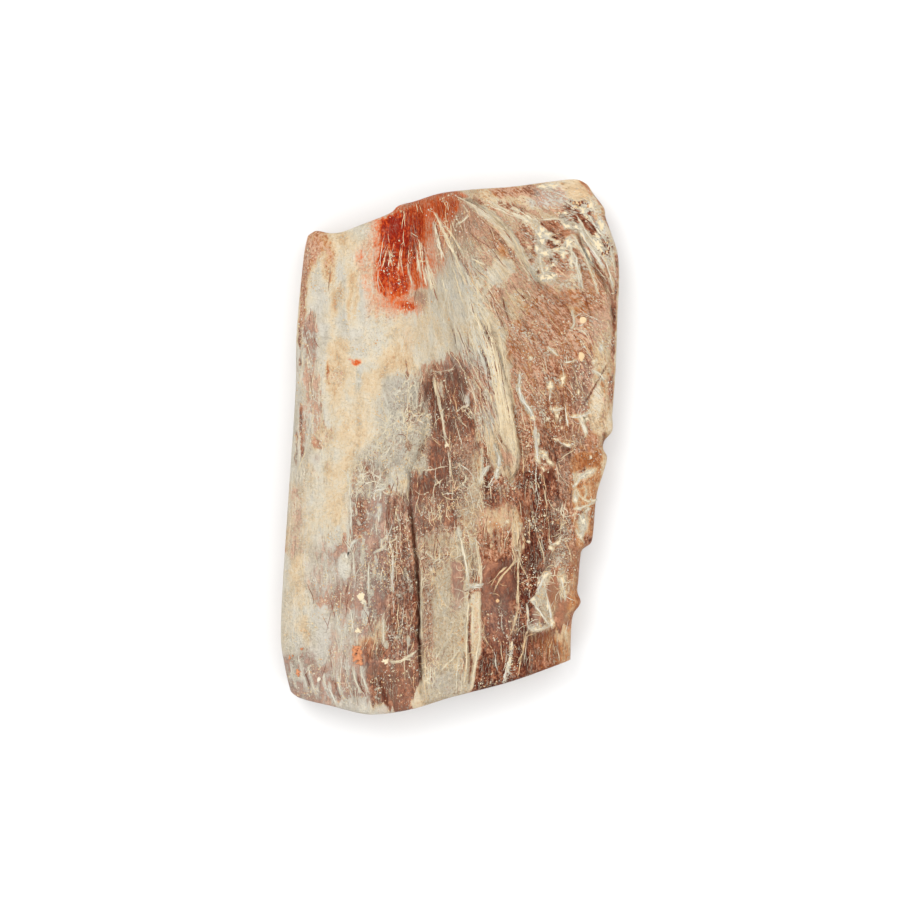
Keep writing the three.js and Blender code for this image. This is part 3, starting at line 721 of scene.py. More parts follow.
def lay_plateau():
    """The pale plateau in the top right corner, and the torn flesh round it."""
    area(CREAM | dict(fat_tone=0.46, fat=0.85, lean_tone=0.2, mottle=1), 1.6, (6, 128),
         (64, 138), (72, 132), (68, 120), (60, 118), (48, 118), (38, 118), (28, 121), (16, 121))
    area(PINK | dict(fat=0.55, hairs=0.4, fat_tone=0.34, mottle=1.3), 2, (20, 121), (32, 116),
         (42, 112), (46, 100), (44, 90), (40, 94), (33, 106), (24, 114), ragged=0.6)
    spots(PINK | dict(fat=0.1, lean_tone=0.24), 0.6,
          (36, 116, 3.6, 1.3, -25), (36.5, 108, 2, 5, 25), (42, 104, 2.4, 6, 15),
          (42, 96, 2, 4, 0))
    area(dict(fat=0.3, fat_tone=0.8, lean_tone=0.34, mottle=1.4), 1.4, (20, 128), (33, 129.4),
         (46, 130.4), (45, 125), (36, 124.6), (22, 124), ragged=0.5)
    area(DARK | dict(lean_tone=0.42, frost=0.2, mottle=1.3), 1.2, (36, 129.4), (43, 130.4),
         (46, 125), (40, 124), ragged=0.5)
    area(dict(veil=0.4, fat=0.5, fat_tone=0.0, lean_tone=0.5, frost=0.15, mottle=1.2), 2.4,
         (43, 128), (54, 129), (62, 123), (61, 118), (44, 116), (40, 121), ragged=0.7)
    area(CREAM | dict(fat_tone=0.48), 2, (58, 134), (69, 131), (72, 124), (64, 121), (58, 124),
         ragged=0.4)
    strand(dict(fat_tone=0.86, fat=0.5, lean_tone=0.5), 0.8, (64, 133), (68, 129.5),
           (70.5, 124))
    area(PINK | dict(fat=0.45, hairs=0.3, lean_tone=0.2), 1.6, (38, 119), (60, 118),
         (58, 112), (48, 110), (38, 113), ragged=0.6)
    area(PINK | dict(fat=0.6, fat_tone=0.25, frost=0.4, hairs=0.4, mottle=1.3), 1.6, (42, 112),
         (60, 113), (64, 104), (63, 92), (64, 80), (56, 78), (46, 80), (42, 88))
    spot(PINK | dict(fat=0.1, lean_tone=0.24, frost=0.3), (54, 91), (6, 7), soft=0.6)
    area(MAROON | dict(lean_tone=0.56), 0.7, (44.6, 112), (50, 112.6), (57, 112), (56, 107),
         (50, 105.6), (46.5, 108.5), ragged=0.3)
    area(MAROON | dict(lean_tone=0.66), 0.7, (47.6, 103.6), (51, 104.8), (57, 105.6),
         (56.5, 101.5), (51, 98), (48, 101), ragged=0.3)
    area(AMBER | dict(fat=0.4, lean_tone=0.35), 0.9, (55, 107), (59, 108), (61, 105.4),
         (57, 103.6), ragged=0.3)
    for at in [(43.7, 86.8), (54, 99.6), (45.3, 101), (46.2, 106), (50, 93), (59, 99)]:
        spot(GAP_SHADE, at, (0.8, 0.9), soft=0.4)
    area(CREAM | dict(fat_tone=0.28, fat=0.8, frost=0.3, mottle=1.2), 1.5,
         (66, 124), (72, 124), (78, 112), (81, 104), (84, 96), (78, 92), (70, 104), (66, 112))
    area(DARK | dict(fat=0.4, fat_tone=0.1, lean_tone=0.72, frost=0.5, torn=1, mottle=1.6), 1.4,
         (56, 118), (61, 123.6), (67, 122), (72, 114), (77, 106), (81, 99), (79, 94), (72, 98),
         (65, 106), (59, 110), (54, 112), ragged=0.6)
    spots(MAROON | dict(torn=1), 0.7,
          (64, 113, 3, 2, -40), (71, 106.6, 1.6, 3.6, 35), (60, 117.6, 2, 1, 0),
          (67, 110, 1.4, 2.4, 30), (76, 100, 1.4, 2.4, 40))
    area(PINK | dict(fat=0.4, hairs=0.6, lean_tone=0.22), 1.4, (60, 110), (66, 106), (73, 96),
         (72, 90), (66, 92), (60, 100), ragged=0.6)
    flakes([
        (46, 129.6, 3, 1, 0), (51, 129.8, 3, 1, 0), (45.6, 107.6, 2, 1.6, -20),
        (48.6, 105.6, 2.2, 0.9, 0), (45.6, 102, 1.8, 1.6, 0), (44.4, 105, 1.2, 2, 10),
        (53, 101.6, 1.6, 1, 20), (57.6, 109.6, 2.8, 1, -25), (58.6, 101, 1.6, 3, -20),
        (53.6, 98, 3, 0.9, 10), (50, 84.6, 3.4, 1.8, 15), (46, 83.6, 2, 1.4, -10),
        (66, 104, 1, 4.6, 25), (73.6, 100, 2, 5, 30), (69, 94, 1, 5, 25), (70, 120, 1.6, 2.6, 0),
        (75, 110, 1.6, 3.6, 20), (47, 96, 2.4, 1.6, 0), (61.6, 119, 1.6, 1, 30),
        (66, 117.6, 1.4, 2, 20), (68, 113.4, 1, 2, 30), (73, 104.6, 1, 2.4, 35),
        (62.6, 109, 1.6, 1, -40), (56, 95, 1.2, 2, 0), (51, 90, 1.4, 1, 30),
        (60, 92, 1, 2.6, 10), (43, 98, 1, 2, 10), (57, 116, 1.4, 0.8, 0), (79, 99, 1.2, 2, 30),
        (38, 112, 1.6, 0.7, -30), (33, 117.6, 1.6, 0.6, -30), (48, 88, 0.8, 1.6, 0),
    ], rise=0.25)
    strands(PALE | dict(lift=0.2, fat_tone=0.15), (0.5, (45, 106), (50, 103), (55, 102)),
            (0.5, (57, 104), (60, 98), (60, 90)), (0.5, (62, 116), (68, 106), (74, 97)),
            (0.5, (66, 120), (72, 110), (78, 101)), (0.5, (50, 98), (56, 96), (62, 96)),
            (0.5, (46, 100), (44.6, 92), (47, 84)), (0.5, (66, 104), (72, 96), (77, 85)),
            (0.5, (70, 100), (77, 91), (81, 78)), (0.4, (75, 106), (80, 96), (83, 84)),
            (0.5, (60, 106), (66, 96), (71, 84), (74, 74)), (0.4, (44, 112), (52, 113), (60, 112)))
    strands(SHADE_LINE, (0.4, (46, 104), (49, 100), (54, 98.6)), (0.4, (60, 100), (64, 92), (66, 84)),
            (0.4, (72, 98), (77, 90), (80, 80)), (0.4, (64, 106), (70, 96), (75, 86)),
            (0.4, (57, 100), (60, 94)))
    spot(dict(lean_tone=0.44), (48, 100), (18, 10), soft=0.9)


def lay_right_side():
    """The warm brown muscle of the right side, its folds and its pale flecks."""
    area(MUSCLE, 2, (44, 82), (58, 80), (63, 100), (70, 102), (88, 96), (88, 20), (72, 20),
         (60, 4), (60, -8), (40, -30), (33, -28), (35, -5), (31, 22), (29, 56), (32, 62))
    spot(MUSCLE | dict(lean_tone=0.16, fat=0.3), (37, 70), (11, 9), soft=0.7)
    spots(dict(fat=0.45, fat_tone=0.88, lean_tone=0.2), 0.8,
          (42, 70, 4, 4), (37, 54, 4, 7), (60, 52, 5, 5), (65, 64, 4, 6), (68, 73, 4, 4),
          (62, 77, 4, 4), (29.3, 47, 1.3, 5), (58, 44, 3, 3), (34.4, 17, 3, 6))
    area(dict(fat=0.5, fat_tone=0.56, lean_tone=0.36, veil=0.2), 2, (70, 68), (80, 70),
         (81, 50), (76, 42), (70, 52))
    area(MUSCLE | dict(lean_tone=0.54), 2, (48, 38), (60, 42), (62, 26), (60, 12), (56, 0),
         (46, 10), (47, 26))
    area(MUSCLE | dict(lean_tone=0.6, fat=0.3, veil=0.3, hairs=0.8), 2, (60, 42), (73, 46),
         (71, 26), (70, 16), (61, 13))
    area(DARK | dict(lean_tone=0.58), 1.4, (44, 10), (53, 4), (59, -3), (58, -10), (50, -10),
         (45, -4))
    area(MUSCLE | dict(lean_tone=0.54), 1.4, (33, 8), (42, 12), (43, -2), (42, -14), (36, -24),
         (31, -22), (34, -10))
    area(NET | dict(fat=0.25, fat_tone=0.6, lean_tone=0.56, curls=0.5), 1.5, (60, 9), (70, 11),
         (70, -2), (61, -8), (60, -30), (54.6, -32), (55, -4))
    area(CREAM | dict(fat=0.76, fat_tone=0.56, hairs=0.6, mottle=0.9, lean_tone=0.4), 1,
         (72, 50), (79, 50), (81, 36), (80, 26), (83, 18), (81, 6), (77, -4), (73, -8), (69, 8),
         (68, 20), (70, 36))
    spot(CREAM | dict(fat_tone=0.42), (80, 12), (2, 5), soft=0.5)
    spot(CREAM | dict(fat_tone=0.3, mottle=0.7), (72.6, 24), (2.4, 10), -8, soft=0.8)
    spot(BROWN, (80.6, 30), (1.8, 6), soft=0.6)
    spot(BROWN, (81.6, 47), (1.4, 5), soft=0.6)
    strand(PINK | dict(fat=0.5), 3, (80, 100), (80.4, 84), (80, 66), (79.4, 52), soft=1.5)
    strand(DARK | dict(lean_tone=0.5), 0.8, (82, 104), (83, 90), (82.4, 76), (81.6, 62),
           (81, 44))
    # Cream along the right rim: partly its own cream fat, partly painted light on the shaded
    # rounding.
    strand(CREAM | dict(fat_tone=0.24), 1.8, (84.8, 98), (84.6, 70), (83.8, 46), (83, 20),
           (82, 6), soft=0.8)
    strands(GAP_SHADE, (0.3, (78, 41), (74, 34), (70, 27), (66, 20)),
            (0.5, (62, 108), (67, 97), (74, 88), (79, 80), (81, 66), (81.4, 54)),
            (0.5, (42.6, 11.4), (48, 8), (53, 3.4), (58, -2), (60, -8)),
            (1, (58.4, 0), (59, -3), (60, -5)), (0.5, (56.6, 19), (56.6, 15), (57.2, 11)),
            (0.4, (77, 8), (76, 0)))
    area(BROWN | SMOOTH | dict(lean_tone=0.72, fat=-0.2), 1.2, (45, -11), (51, -12),
         (54.4, -19), (52.6, -28), (45, -27), (43.6, -18))
    area(GAP_SHADE, 0.9, (47, -11), (50.6, -11.6), (54, -17), (53.6, -20), (50, -16))
    strands(SHADE_LINE, (0.5, (33, 66), (42, 55), (50, 49)), (0.5, (50, 76), (58, 69), (61, 61)),
            (0.5, (62, 82), (68, 72), (70, 62)), (0.5, (68, 92), (75, 84), (79, 72)),
            (0.5, (25, 78), (27, 68), (31, 58)), (0.4, (62, 38), (61.4, 30), (62, 22)),
            (0.4, (66, 34), (66, 28)), (0.4, (56, 26), (56, 20)))
    strands(WHITE | dict(lift=0.25), (1.1, (56, 97.5), (61, 94.5), (63.4, 87), (65.4, 76)),
            (0.8, (64, 111), (68, 101), (77, 88)), (0.7, (34.6, 38), (34.4, 31), (34, 26)),
            (1.2, (32.4, 32), (35, 25), (38.6, 19), (41.6, 13.4)),
            (0.7, (42, 13), (42.4, 4), (43, -3), (44, -8)), (0.5, (52, 4.2), (56, 1.6), (60.6, 0)),
            (0.5, (50, 21), (51.4, 18.4), (57.4, 19.6)), (0.6, (58, 22), (57.6, 16), (58.6, 10)),
            (0.6, (58.4, 15), (64, 15), (70.4, 18)), (0.9, (64.4, 15), (66, 10.6), (68, 6)),
            (0.7, (70, 38), (74, 36), (76.6, 33)), (0.6, (56, 42.5), (60, 42), (63, 44)),
            (0.6, (60.4, 68), (61.6, 62), (60, 58)), (0.6, (48, 50), (54, 45)),
            (0.5, (75, 51), (75.4, 47.4)),
            (0.4, (43, -8), (42.6, -16), (43.4, -23), (45, -27), (47.4, -26)),
            (0.4, (49.6, 29), (49.4, 22)))
    flakes([
        (49.8, 30.4, 1.8, 2.6, 10), (55.8, 33, 1.7, 3.4, -5), (51.2, 18.6, 1.9, 1, -20),
        (53.4, 15.2, 1.1, 2.4, 20), (58, 14, 0.7, 3, 0), (62.6, 15.4, 2.6, 0.9, 0),
        (66.2, 14.2, 2.6, 2, -30), (66.8, 9, 1.3, 3.4, 18), (52.8, 3.6, 1.6, 0.7, -30),
        (58, 1, 2.6, 0.8, -20), (46.4, -3.4, 1.5, 2.6, 45), (49.6, -7.6, 2.2, 1.1, -35),
        (44, 4, 0.7, 3.4, 0), (43.4, -6, 1.2, 3, 10), (41, 14.4, 1.2, 1.8, 30),
        (48.4, 14, 0.7, 0.9, 0), (55.4, 9.6, 0.6, 1, 0), (63.6, 27, 0.6, 1.4, 0),
        (46, -11, 0.8, 1.6, 30), (40, 44, 0.8, 0.8, 0), (71.4, 42.6, 1.4, 0.6, 20),
    ])
    drop(0.5, (65.2, 44.8), (1.6, 2.4), 0, 0.6)
    drop(0.45, (66, 63), (1.8, 1.6), 0, 0.5)


def lay_leaf():
    """The long leaf of streaked fat that tapers down the middle."""
    area(CREAM | dict(fat_tone=0.46, hairs=0.9, fat=1.15), 1.5, (6, 84), (11, 71), (16, 60),
         (24, 60), (29, 54), (30, 36), (31, 20), (33.6, 8), (35, -3), (34, -12), (29, -18),
         (24, -12), (20, -4), (17, 4), (16, 12), (19, 34), (14, 44), (4, 50), (-2, 66))
    area(dict(fat=0.55, fat_tone=0.1, lean_tone=0.5, hairs=1.2, veil=0.1), 2, (9, 34),
         (19, 42), (23, 30), (22, 14), (18, 4), (14, 8), (11, 20))
    spot(dict(fat_tone=0.02, veil=0.2, fat=0.9, hairs=0.6), (5, 57), (4.5, 8), 15, soft=0.8)
    spot(CREAM | dict(fat_tone=0.3, hairs=0.6), (22, 58), (3.4, 12), 20, soft=0.7)
    area(dict(fat=0.6, fat_tone=0.08, lean_tone=0.5, hairs=1, veil=0.3), 2, (5, 50), (13, 49),
         (20, 41), (16, 36), (10, 40))
    spot(dict(fat=0.5, lean_tone=0.4, hairs=1.2), (27, -4), (5, 7), 10, soft=0.7)
    strand(CREAM | dict(fat_tone=0.32, hairs=0.7), 2.2, (24, 42), (27, 28), (29.5, 14), (32, 2),
           soft=1.4)
    left = [(9, 72), (12, 62), (17, 48), (21, 32), (24, 14), (27, -4)]
    right = [(21, 66), (25, 54), (28, 40), (30, 24), (33, 8), (34.4, -6)]
    fan(SHADE_LINE | dict(crease_shade=0.36), 0.35, 8, left, right, 1)
    fan(PALE | dict(lift=0.3), 0.6, 12, left, right, 2)
    for share in (0.1, 0.3, 0.5, 0.66, 0.8, 0.95):
        strand(CREAM | dict(fat_tone=0.34, lift=0.25), 0.8,
               *lerp(np.array(left, float), np.array(right, float), share))
    fan(WHITE | dict(frost=0.4, lift=0.2), 0.4, 7, [(3, 84), (8, 70), (10, 56), (16, 40), (20, 24)],
        [(9, 82), (14, 68), (19, 52), (24, 36), (27, 18)], 3)
    strands(GAP_SHADE, (1.1, (17.4, 61), (19.2, 55), (21.2, 49.6)),
            (0.5, (14.4, 51), (17, 45), (19, 39), (22.4, 30)),
            (0.7, (20, -10), (18.4, -16), (18.2, -23)))
    strands(SHADE_LINE, (0.5, (22, 9), (25, 4), (28, -1), (30, -6)),
            (0.4, (24.6, 48), (26.6, 38), (27.6, 30)), (0.4, (-9, 84), (-8, 78), (-6, 72)),
            (0.4, (0, 62), (2, 56), (3, 51)))
    strands(WHITE | dict(lift=0.5), (1.1, (24.4, -10), (22, -16), (19, -20.4)),
            (1, (19.6, -9), (16, -14), (15.2, -19)), (0.9, (21.4, 2), (24, -4), (24.4, -11)))
    spot(dict(fat=1.1, veil=0, frost=0.3), (11, 74), (6, 16), 25, soft=0.95)
    spot(dict(fat=1, fat_tone=0.3), (29, 50), (3.6, 14), 8, soft=0.95)
    spot(dict(lean_tone=0.12, fat_tone=0.16, crease_shade=0), (4, 87), (14, 8), soft=0.95)


def lay_middle():
    """The dark muscle right of the pad, and the cream fat that closes it below."""
    area(MAROON | dict(lean_tone=0.8, frost=0.05, fat=-0.05, blood=0.1), 1.6, (-13, 36), (-9, 40.4),
         (-1, 46), (4, 42), (13, 42), (18, 38), (19, 33), (14, 26), (10, 16), (12, 6), (16, 1),
         (14, -4), (1, -3), (0.4, -26), (4, -34), (4, -40), (-4, -44), (-17, -42), (-20, -26),
         (-20, -12), (-12, -8), (-10.6, 4), (-12, 12), (-8.6, 22), (-14, 28))
    spot(MAUVE | dict(lean_tone=0.5, veil=0.25), (4, 41), (11, 4), soft=0.8)
    spot(dict(lean_tone=0.54, fat=0.2, fat_tone=0.85), (8, 4), (6, 5), soft=0.7)
    spot(dict(fat=0.6, fat_tone=0.3, lean_tone=0.5), (-5, 29), (2.2, 5), 10, soft=0.7)
    spot(dict(fat=0.8, fat_tone=0.05, veil=0.2), (9.4, 25), (1.8, 4.5), -12, soft=0.6)
    spot(dict(fat=0.35, fat_tone=0.8, lean_tone=0.42, curls=0.8), (7, -2), (7, 3), soft=0.7)
    spot(dict(lean_tone=0.6, fat=0.1, frost=0.2, curls=0.5), (-9, -31), (7, 6), soft=0.7)
    spot(dict(lean_tone=0.92, frost=-0.2, fat=-0.3), (-11, -16), (7, 8), soft=0.9)
    spot(dict(lean_tone=0.9), (2, 20), (6, 12), soft=0.9)
    spot(dict(lean_tone=0.8, fat=0), (-1, -33), (3, 7), soft=0.7)
    area(NET | dict(fat=0.5, fat_tone=0.6, lean_tone=0.44), 1.8, (0.6, -9), (4, -4), (15, -4),
         (16.4, -14), (15, -22), (16, -30), (13, -42), (6, -42), (4, -30), (0.8, -22))
    spot(NET | dict(fat=0.8, fat_tone=0.44), (9.6, -26), (4, 9), soft=0.9)
    area(NET | dict(fat=0.1, lean_tone=0.5), 1.6, (-15, -44), (-4, -38), (4, -40), (2, -48),
         (-14, -47))
    strands(WHITE | dict(fat_tone=0.3, lift=0.4), (0.9, (-7.8, 37), (-7.6, 31), (-6.4, 25)),
            (0.6, (-6.6, 27), (-4.4, 17), (-2.8, 9), (-1.2, 0)))
    drop(0.3, (-1.6, 1), (1.1, 1.3), 0, 0.5, 0.3)
    strands(PALE | dict(lift=0.2), (0.4, (-1.2, 0), (0, -5), (0.2, -13), (0.8, -24)),
            (0.3, (2, 16.6), (6, 19.5), (10, 21)), (0.3, (3, 16), (5.5, 13), (9, 9)),
            (0.35, (2.5, 13), (4.5, 6), (6.4, 0)), (0.3, (-10, 38), (-5, 37.4), (3, 39)),
            (0.3, (-5, 38), (-4.4, 35)), (0.3, (-8, -27), (-8, -20), (-3, -15.4)),
            (0.4, (-16, -12), (-8, -11), (0, -8.6)), (0.5, (15.6, 2), (15.8, -8), (15, -18)),
            (0.3, (10, 20), (12.6, 8), (15.4, 0)), (0.3, (-14, -24), (-10, -22)),
            (0.3, (-8, -14), (-5, -19)), (0.4, (4, -8), (10, -12), (12, -18), (8, -22)),
            (0.4, (2, -14), (5, -12), (8, -15), (6, -19), (3, -18)))
    strands(GAP_SHADE, (0.5, (-9.4, 35), (-8.6, 27), (-7.6, 20), (-5, 11), (-3.4, 3)),
            (0.4, (0, 44), (3, 38), (5.4, 31)), (0.4, (5, 42), (9, 36)),
            (0.5, (-20, -12), (-19.8, -20), (-19.6, -28)), (0.4, (10, 28), (10.6, 18), (12.4, 8)),
            (0.3, (-14, 34), (-12, 26), (-14, 18)))
    spot(dict(lean_tone=0.74, fat=0), (3, -16), (6, 16), soft=0.95)


def lay_lower_left():
    """The greyed, streaked lean below the pad, and the brick-brown strip beside the slit."""
    area(MAUVE | dict(fat=0.3, veil=0.46), 5, (-50, -24), (-40, -18), (-20, -26), (-16.6, -48),
         (-15, -100), (-20, -138), (-62, -138), (-88, -126), (-86, -104), (-69, -96),
         (-62, -84), (-66, -72), (-64, -60), (-56, -48), (-50, -42))
    spot(MAUVE | dict(lean_tone=0.5, veil=0.4, fat=0.4), (-58, -62), (8, 14), soft=0.9)
    spot(MAUVE | dict(fat=0.62, veil=0.46, lean_tone=0.36), (-64, -62), (7, 13), soft=0.95)
    spot(MAUVE | dict(fat=0.5, veil=0.46, lean_tone=0.4), (-58, -82), (9, 6), soft=0.95)
    spot(dict(veil=0.26, lean_tone=0.56, fat=0.1, blood=0.08), (-54, -76), (6, 5), soft=0.9)
    spot(MAUVE | dict(lean_tone=0.3, fat=0.6), (-54, -96), (8, 14), soft=0.9)
    area(MAUVE | dict(veil=0.15, fat=0.2, lean_tone=0.52, frost=0.1, mottle=0.8), 2.5,
         (-49, -24), (-41, -25), (-40, -44), (-48, -44), ragged=0.7)
    area(MAUVE | dict(lean_tone=0.64, veil=0.36, fat=0.12), 3, (-44, -52), (-30, -46),
         (-30, -90), (-40, -92), ragged=0.8)
    spot(TAN | dict(fat=0.6, hairs=0.8, lean_tone=0.4, fat_tone=0.4), (-34, -92), (5, 7),
         soft=0.8)
    area(BROWN | dict(veil=0.1, fat=0.05, lean_tone=0.6, frost=0.2, mottle=0.6), 2.5,
         (-31, -25), (-19.6, -26), (-16, -60), (-16, -99), (-22, -106), (-30, -104),
         (-31, -60))
    area(DARK | dict(lean_tone=0.64, frost=0.3, mottle=0.8, veil=0.1), 2, (-29, -52), (-20, -52),
         (-18.6, -80), (-20, -98), (-28, -98), (-30, -70), ragged=0.7)
    strand(BROWN | dict(lean_tone=0.56, fat=0, frost=0, mottle=0.5), 1.4, (-19.6, -36),
           (-18, -56), (-17, -76), (-17, -98), soft=0.7)
    spot(MAUVE | dict(lean_tone=0.5, veil=0.2, hairs=1.2), (-25, -34), (5, 8), soft=0.7)
    area(MAROON | dict(lean_tone=0.84, blood=0.14), 1.6, (-41, -106), (-31, -107),
         (-22, -108), (-15, -101), (-15, -112), (-17, -122), (-20, -136), (-34, -136),
         (-39, -122), (-41, -113), ragged=0.6)
    area(MAROON | dict(lean_tone=0.9, mottle=0.5), 2, (-31, -109), (-24, -109), (-21, -117),
         (-28, -122), (-33, -116), ragged=0.5)
    area(BROWN | dict(lean_tone=0.66, fat=0, blood=0.08), 2, (-41, -112), (-35, -112), (-32, -128),
         (-38, -130), ragged=0.6)
    spot(AMBER | dict(fat=0.8, fat_tone=0.78, mottle=0.3), (-41, -97), (4.4, 2.8),
         soft=0.9)
    spot(MAROON | dict(lean_tone=0.76, mottle=0.3), (-40, -102.5), (3, 4.4), soft=0.9)
    spot(BROWN | dict(lean_tone=0.62, blood=0.06), (-34, -101), (5, 5), soft=0.8)
    area(FILM | dict(fat_tone=0.02), 1.6, (-69.6, -72), (-67.6, -79), (-60.4, -81), (-59.6, -94),
         (-61.6, -108), (-65, -108), (-68, -98), (-70, -88), ragged=0.3)
    spot(FILM | dict(fat_tone=0, frost=0.4), (-77, -97), (3.6, 5), soft=0.7)
    spot(WHITE | dict(fat=1.4, lift=0.6, veil=0, mottle=0.3, frost=0.25, hairs=0), (-52.4, -59),
         (2.9, 6.4), 4, soft=0.15)
    drop(0.05, (-50.8, -53.6), (0.9, 2), -25, 0.3)
    drop(0.3, (-44, -74), (1.9, 2), 30, 0.6, 0.2)
    drop(0.2, (-43, -76.4), (1.3, 1.3), 10, 0.8, 0.4)
    for x, y, across, along in [
        (-47.4, -101.4, 1.3, 2), (-44.8, -101, 1.3, 2), (-46.4, -99.2, 1.8, 1),
        (-45.6, -104.6, 2.4, 1.7), (-44.8, -106.8, 1.7, 1.3), (-47, -104, 1, 1.4),
        (-75.4, -111.4, 1, 1.3), (-75.2, -113, 0.8, 0.9), (-73.5, -100, 0.8, 0.6),
        (-79.6, -104.6, 0.7, 1), (-78, -103.6, 0.5, 0.5),
    ]:
        drop(0.74, (x, y), (across, along), 0, 0.5 + 0.4 * across, 0.4)
    drop(1, (-46.2, -101.6), (0.9, 1.1), 0, 0.7, 0.2)
    drop(0.3, (-45.6, -91), (1.3, 1.3), 30, 0.4, 0.4)
    drop(1, (-21.4, -91.4), (0.9, 0.9), 0, 0.2)
    drop(0.1, (-65, -115), (1.3, 0.9), 60, 0.4)
    strands(WHITE | dict(lift=0.3), (0.8, (-45.6, -45.6), (-48.4, -48), (-50.4, -52)),
            (0.5, (-50.4, -51), (-50.6, -44), (-50, -38)))
    spot(AMBER, (-44.8, -44.6), (1.2, 1), soft=0.6)
    spots(WHITE | dict(lift=0.2, veil=0), 0.4,
          (-59.8, -45, 1, 3.6), (-55.4, -43, 1.3, 3.6), (-43.2, -52, 0.9, 6),
          (-37.8, -62, 0.7, 3), (-36.8, -56, 0.7, 2.6), (-42, -84, 1.4, 4.4),
          (-38.6, -72, 0.7, 2), (-52, -90.5, 0.9, 2.6), (-72, -81, 0.8, 2.2),
          (-20.6, -96, 1, 2.6), (-31.6, -98, 1, 2), (-68.4, -25, 1, 3))
    for x, top, low, drift in [
        (-56, -112, -128, 5), (-52, -104, -127, 5), (-48, -108, -122, 4), (-79, -106, -120, 3),
        (-75, -102, -121, 5), (-70, -108, -123, 4), (-63, -112, -125, 4), (-44, -108, -122, 4),
        (-60, -116, -128, 4), (-33, -82, -98, 0), (-40.4, -56, -80, 0.6), (-35, -28, -38, -1),
        (-28.5, -50, -66, 1), (-42, -76, -82, 0), (-31.6, -40, -52, 3), (-29, -60, -74, 1),
        (-47.6, -56, -66, 1), (-56, -80, -94, 2), (-49, -80, -92, 1), (-62, -52, -66, 1),
    ]:
        strand(PALE | dict(frost=0.5, lift=0.2, fat_tone=0.08), 0.5, (x, top),
               (x + 0.3 * drift, (top + low) / 2), (x + drift, low), soft=0.7)
    for x, top, low, drift in [(-24, -26, -42, 1), (-27.6, -26, -40, 1), (-45, -24, -40, 2),
                               (-21, -26, -40, 1), (-20.8, -44, -56, 0), (-23.6, -46, -58, 1),
                               (-41.4, -70, -80, 1), (-52, -110, -124, 5), (-46, -112, -124, 4),
                               (-58, -114, -126, 4), (-30.4, -26, -36, 0), (-72, -110, -120, 3)]:
        strand(SHADE_LINE, 0.6, (x, top), (x + 0.4 * drift, (top + low) / 2), (x + drift, low))
    ring = [(-29 + 2.6 * math.sin(turn), -44 + 2.6 * math.cos(turn)) for turn in range(1, 6)]
    strands(PALE | dict(lift=0.3),
            (0.6, (-32, -106), (-26, -106.4), (-20, -103.6), (-15.6, -100.4)),
            (0.4, (-29, -107), (-22, -105.4), (-16.5, -106.5)),
            (0.5, (-30, -52), (-34, -48), (-31, -44)), (0.4, *ring),
            (0.4, (-31, -48), (-35, -51), (-38, -53)))
    drop(0.3, (-32, -106.2), (1.8, 1.2), 0, 0.4, 0.4)
    spot(CREAM | dict(fat_tone=0.2), (-37, -131), (9, 2.6), soft=0.6)
    area(CREAM | dict(fat=0.9), 1, (-20, -130), (-15, -116), (-13, -116),
         (-13, -132), ragged=0.5)
    strand(GAP_SHADE, 1, (-33.8, -111), (-34, -118), (-31.5, -126), (-29.5, -133))
    # White along the bottom edge: partly frost, partly painted light on the shaded rounding.
    spot(WHITE | dict(frost=0.2), (-42, -129.5), (16, 3), -8, soft=0.8)
    spot(MAROON | dict(lean_tone=0.8, fat=-0.1), (-25, -116), (6, 9), soft=0.8)


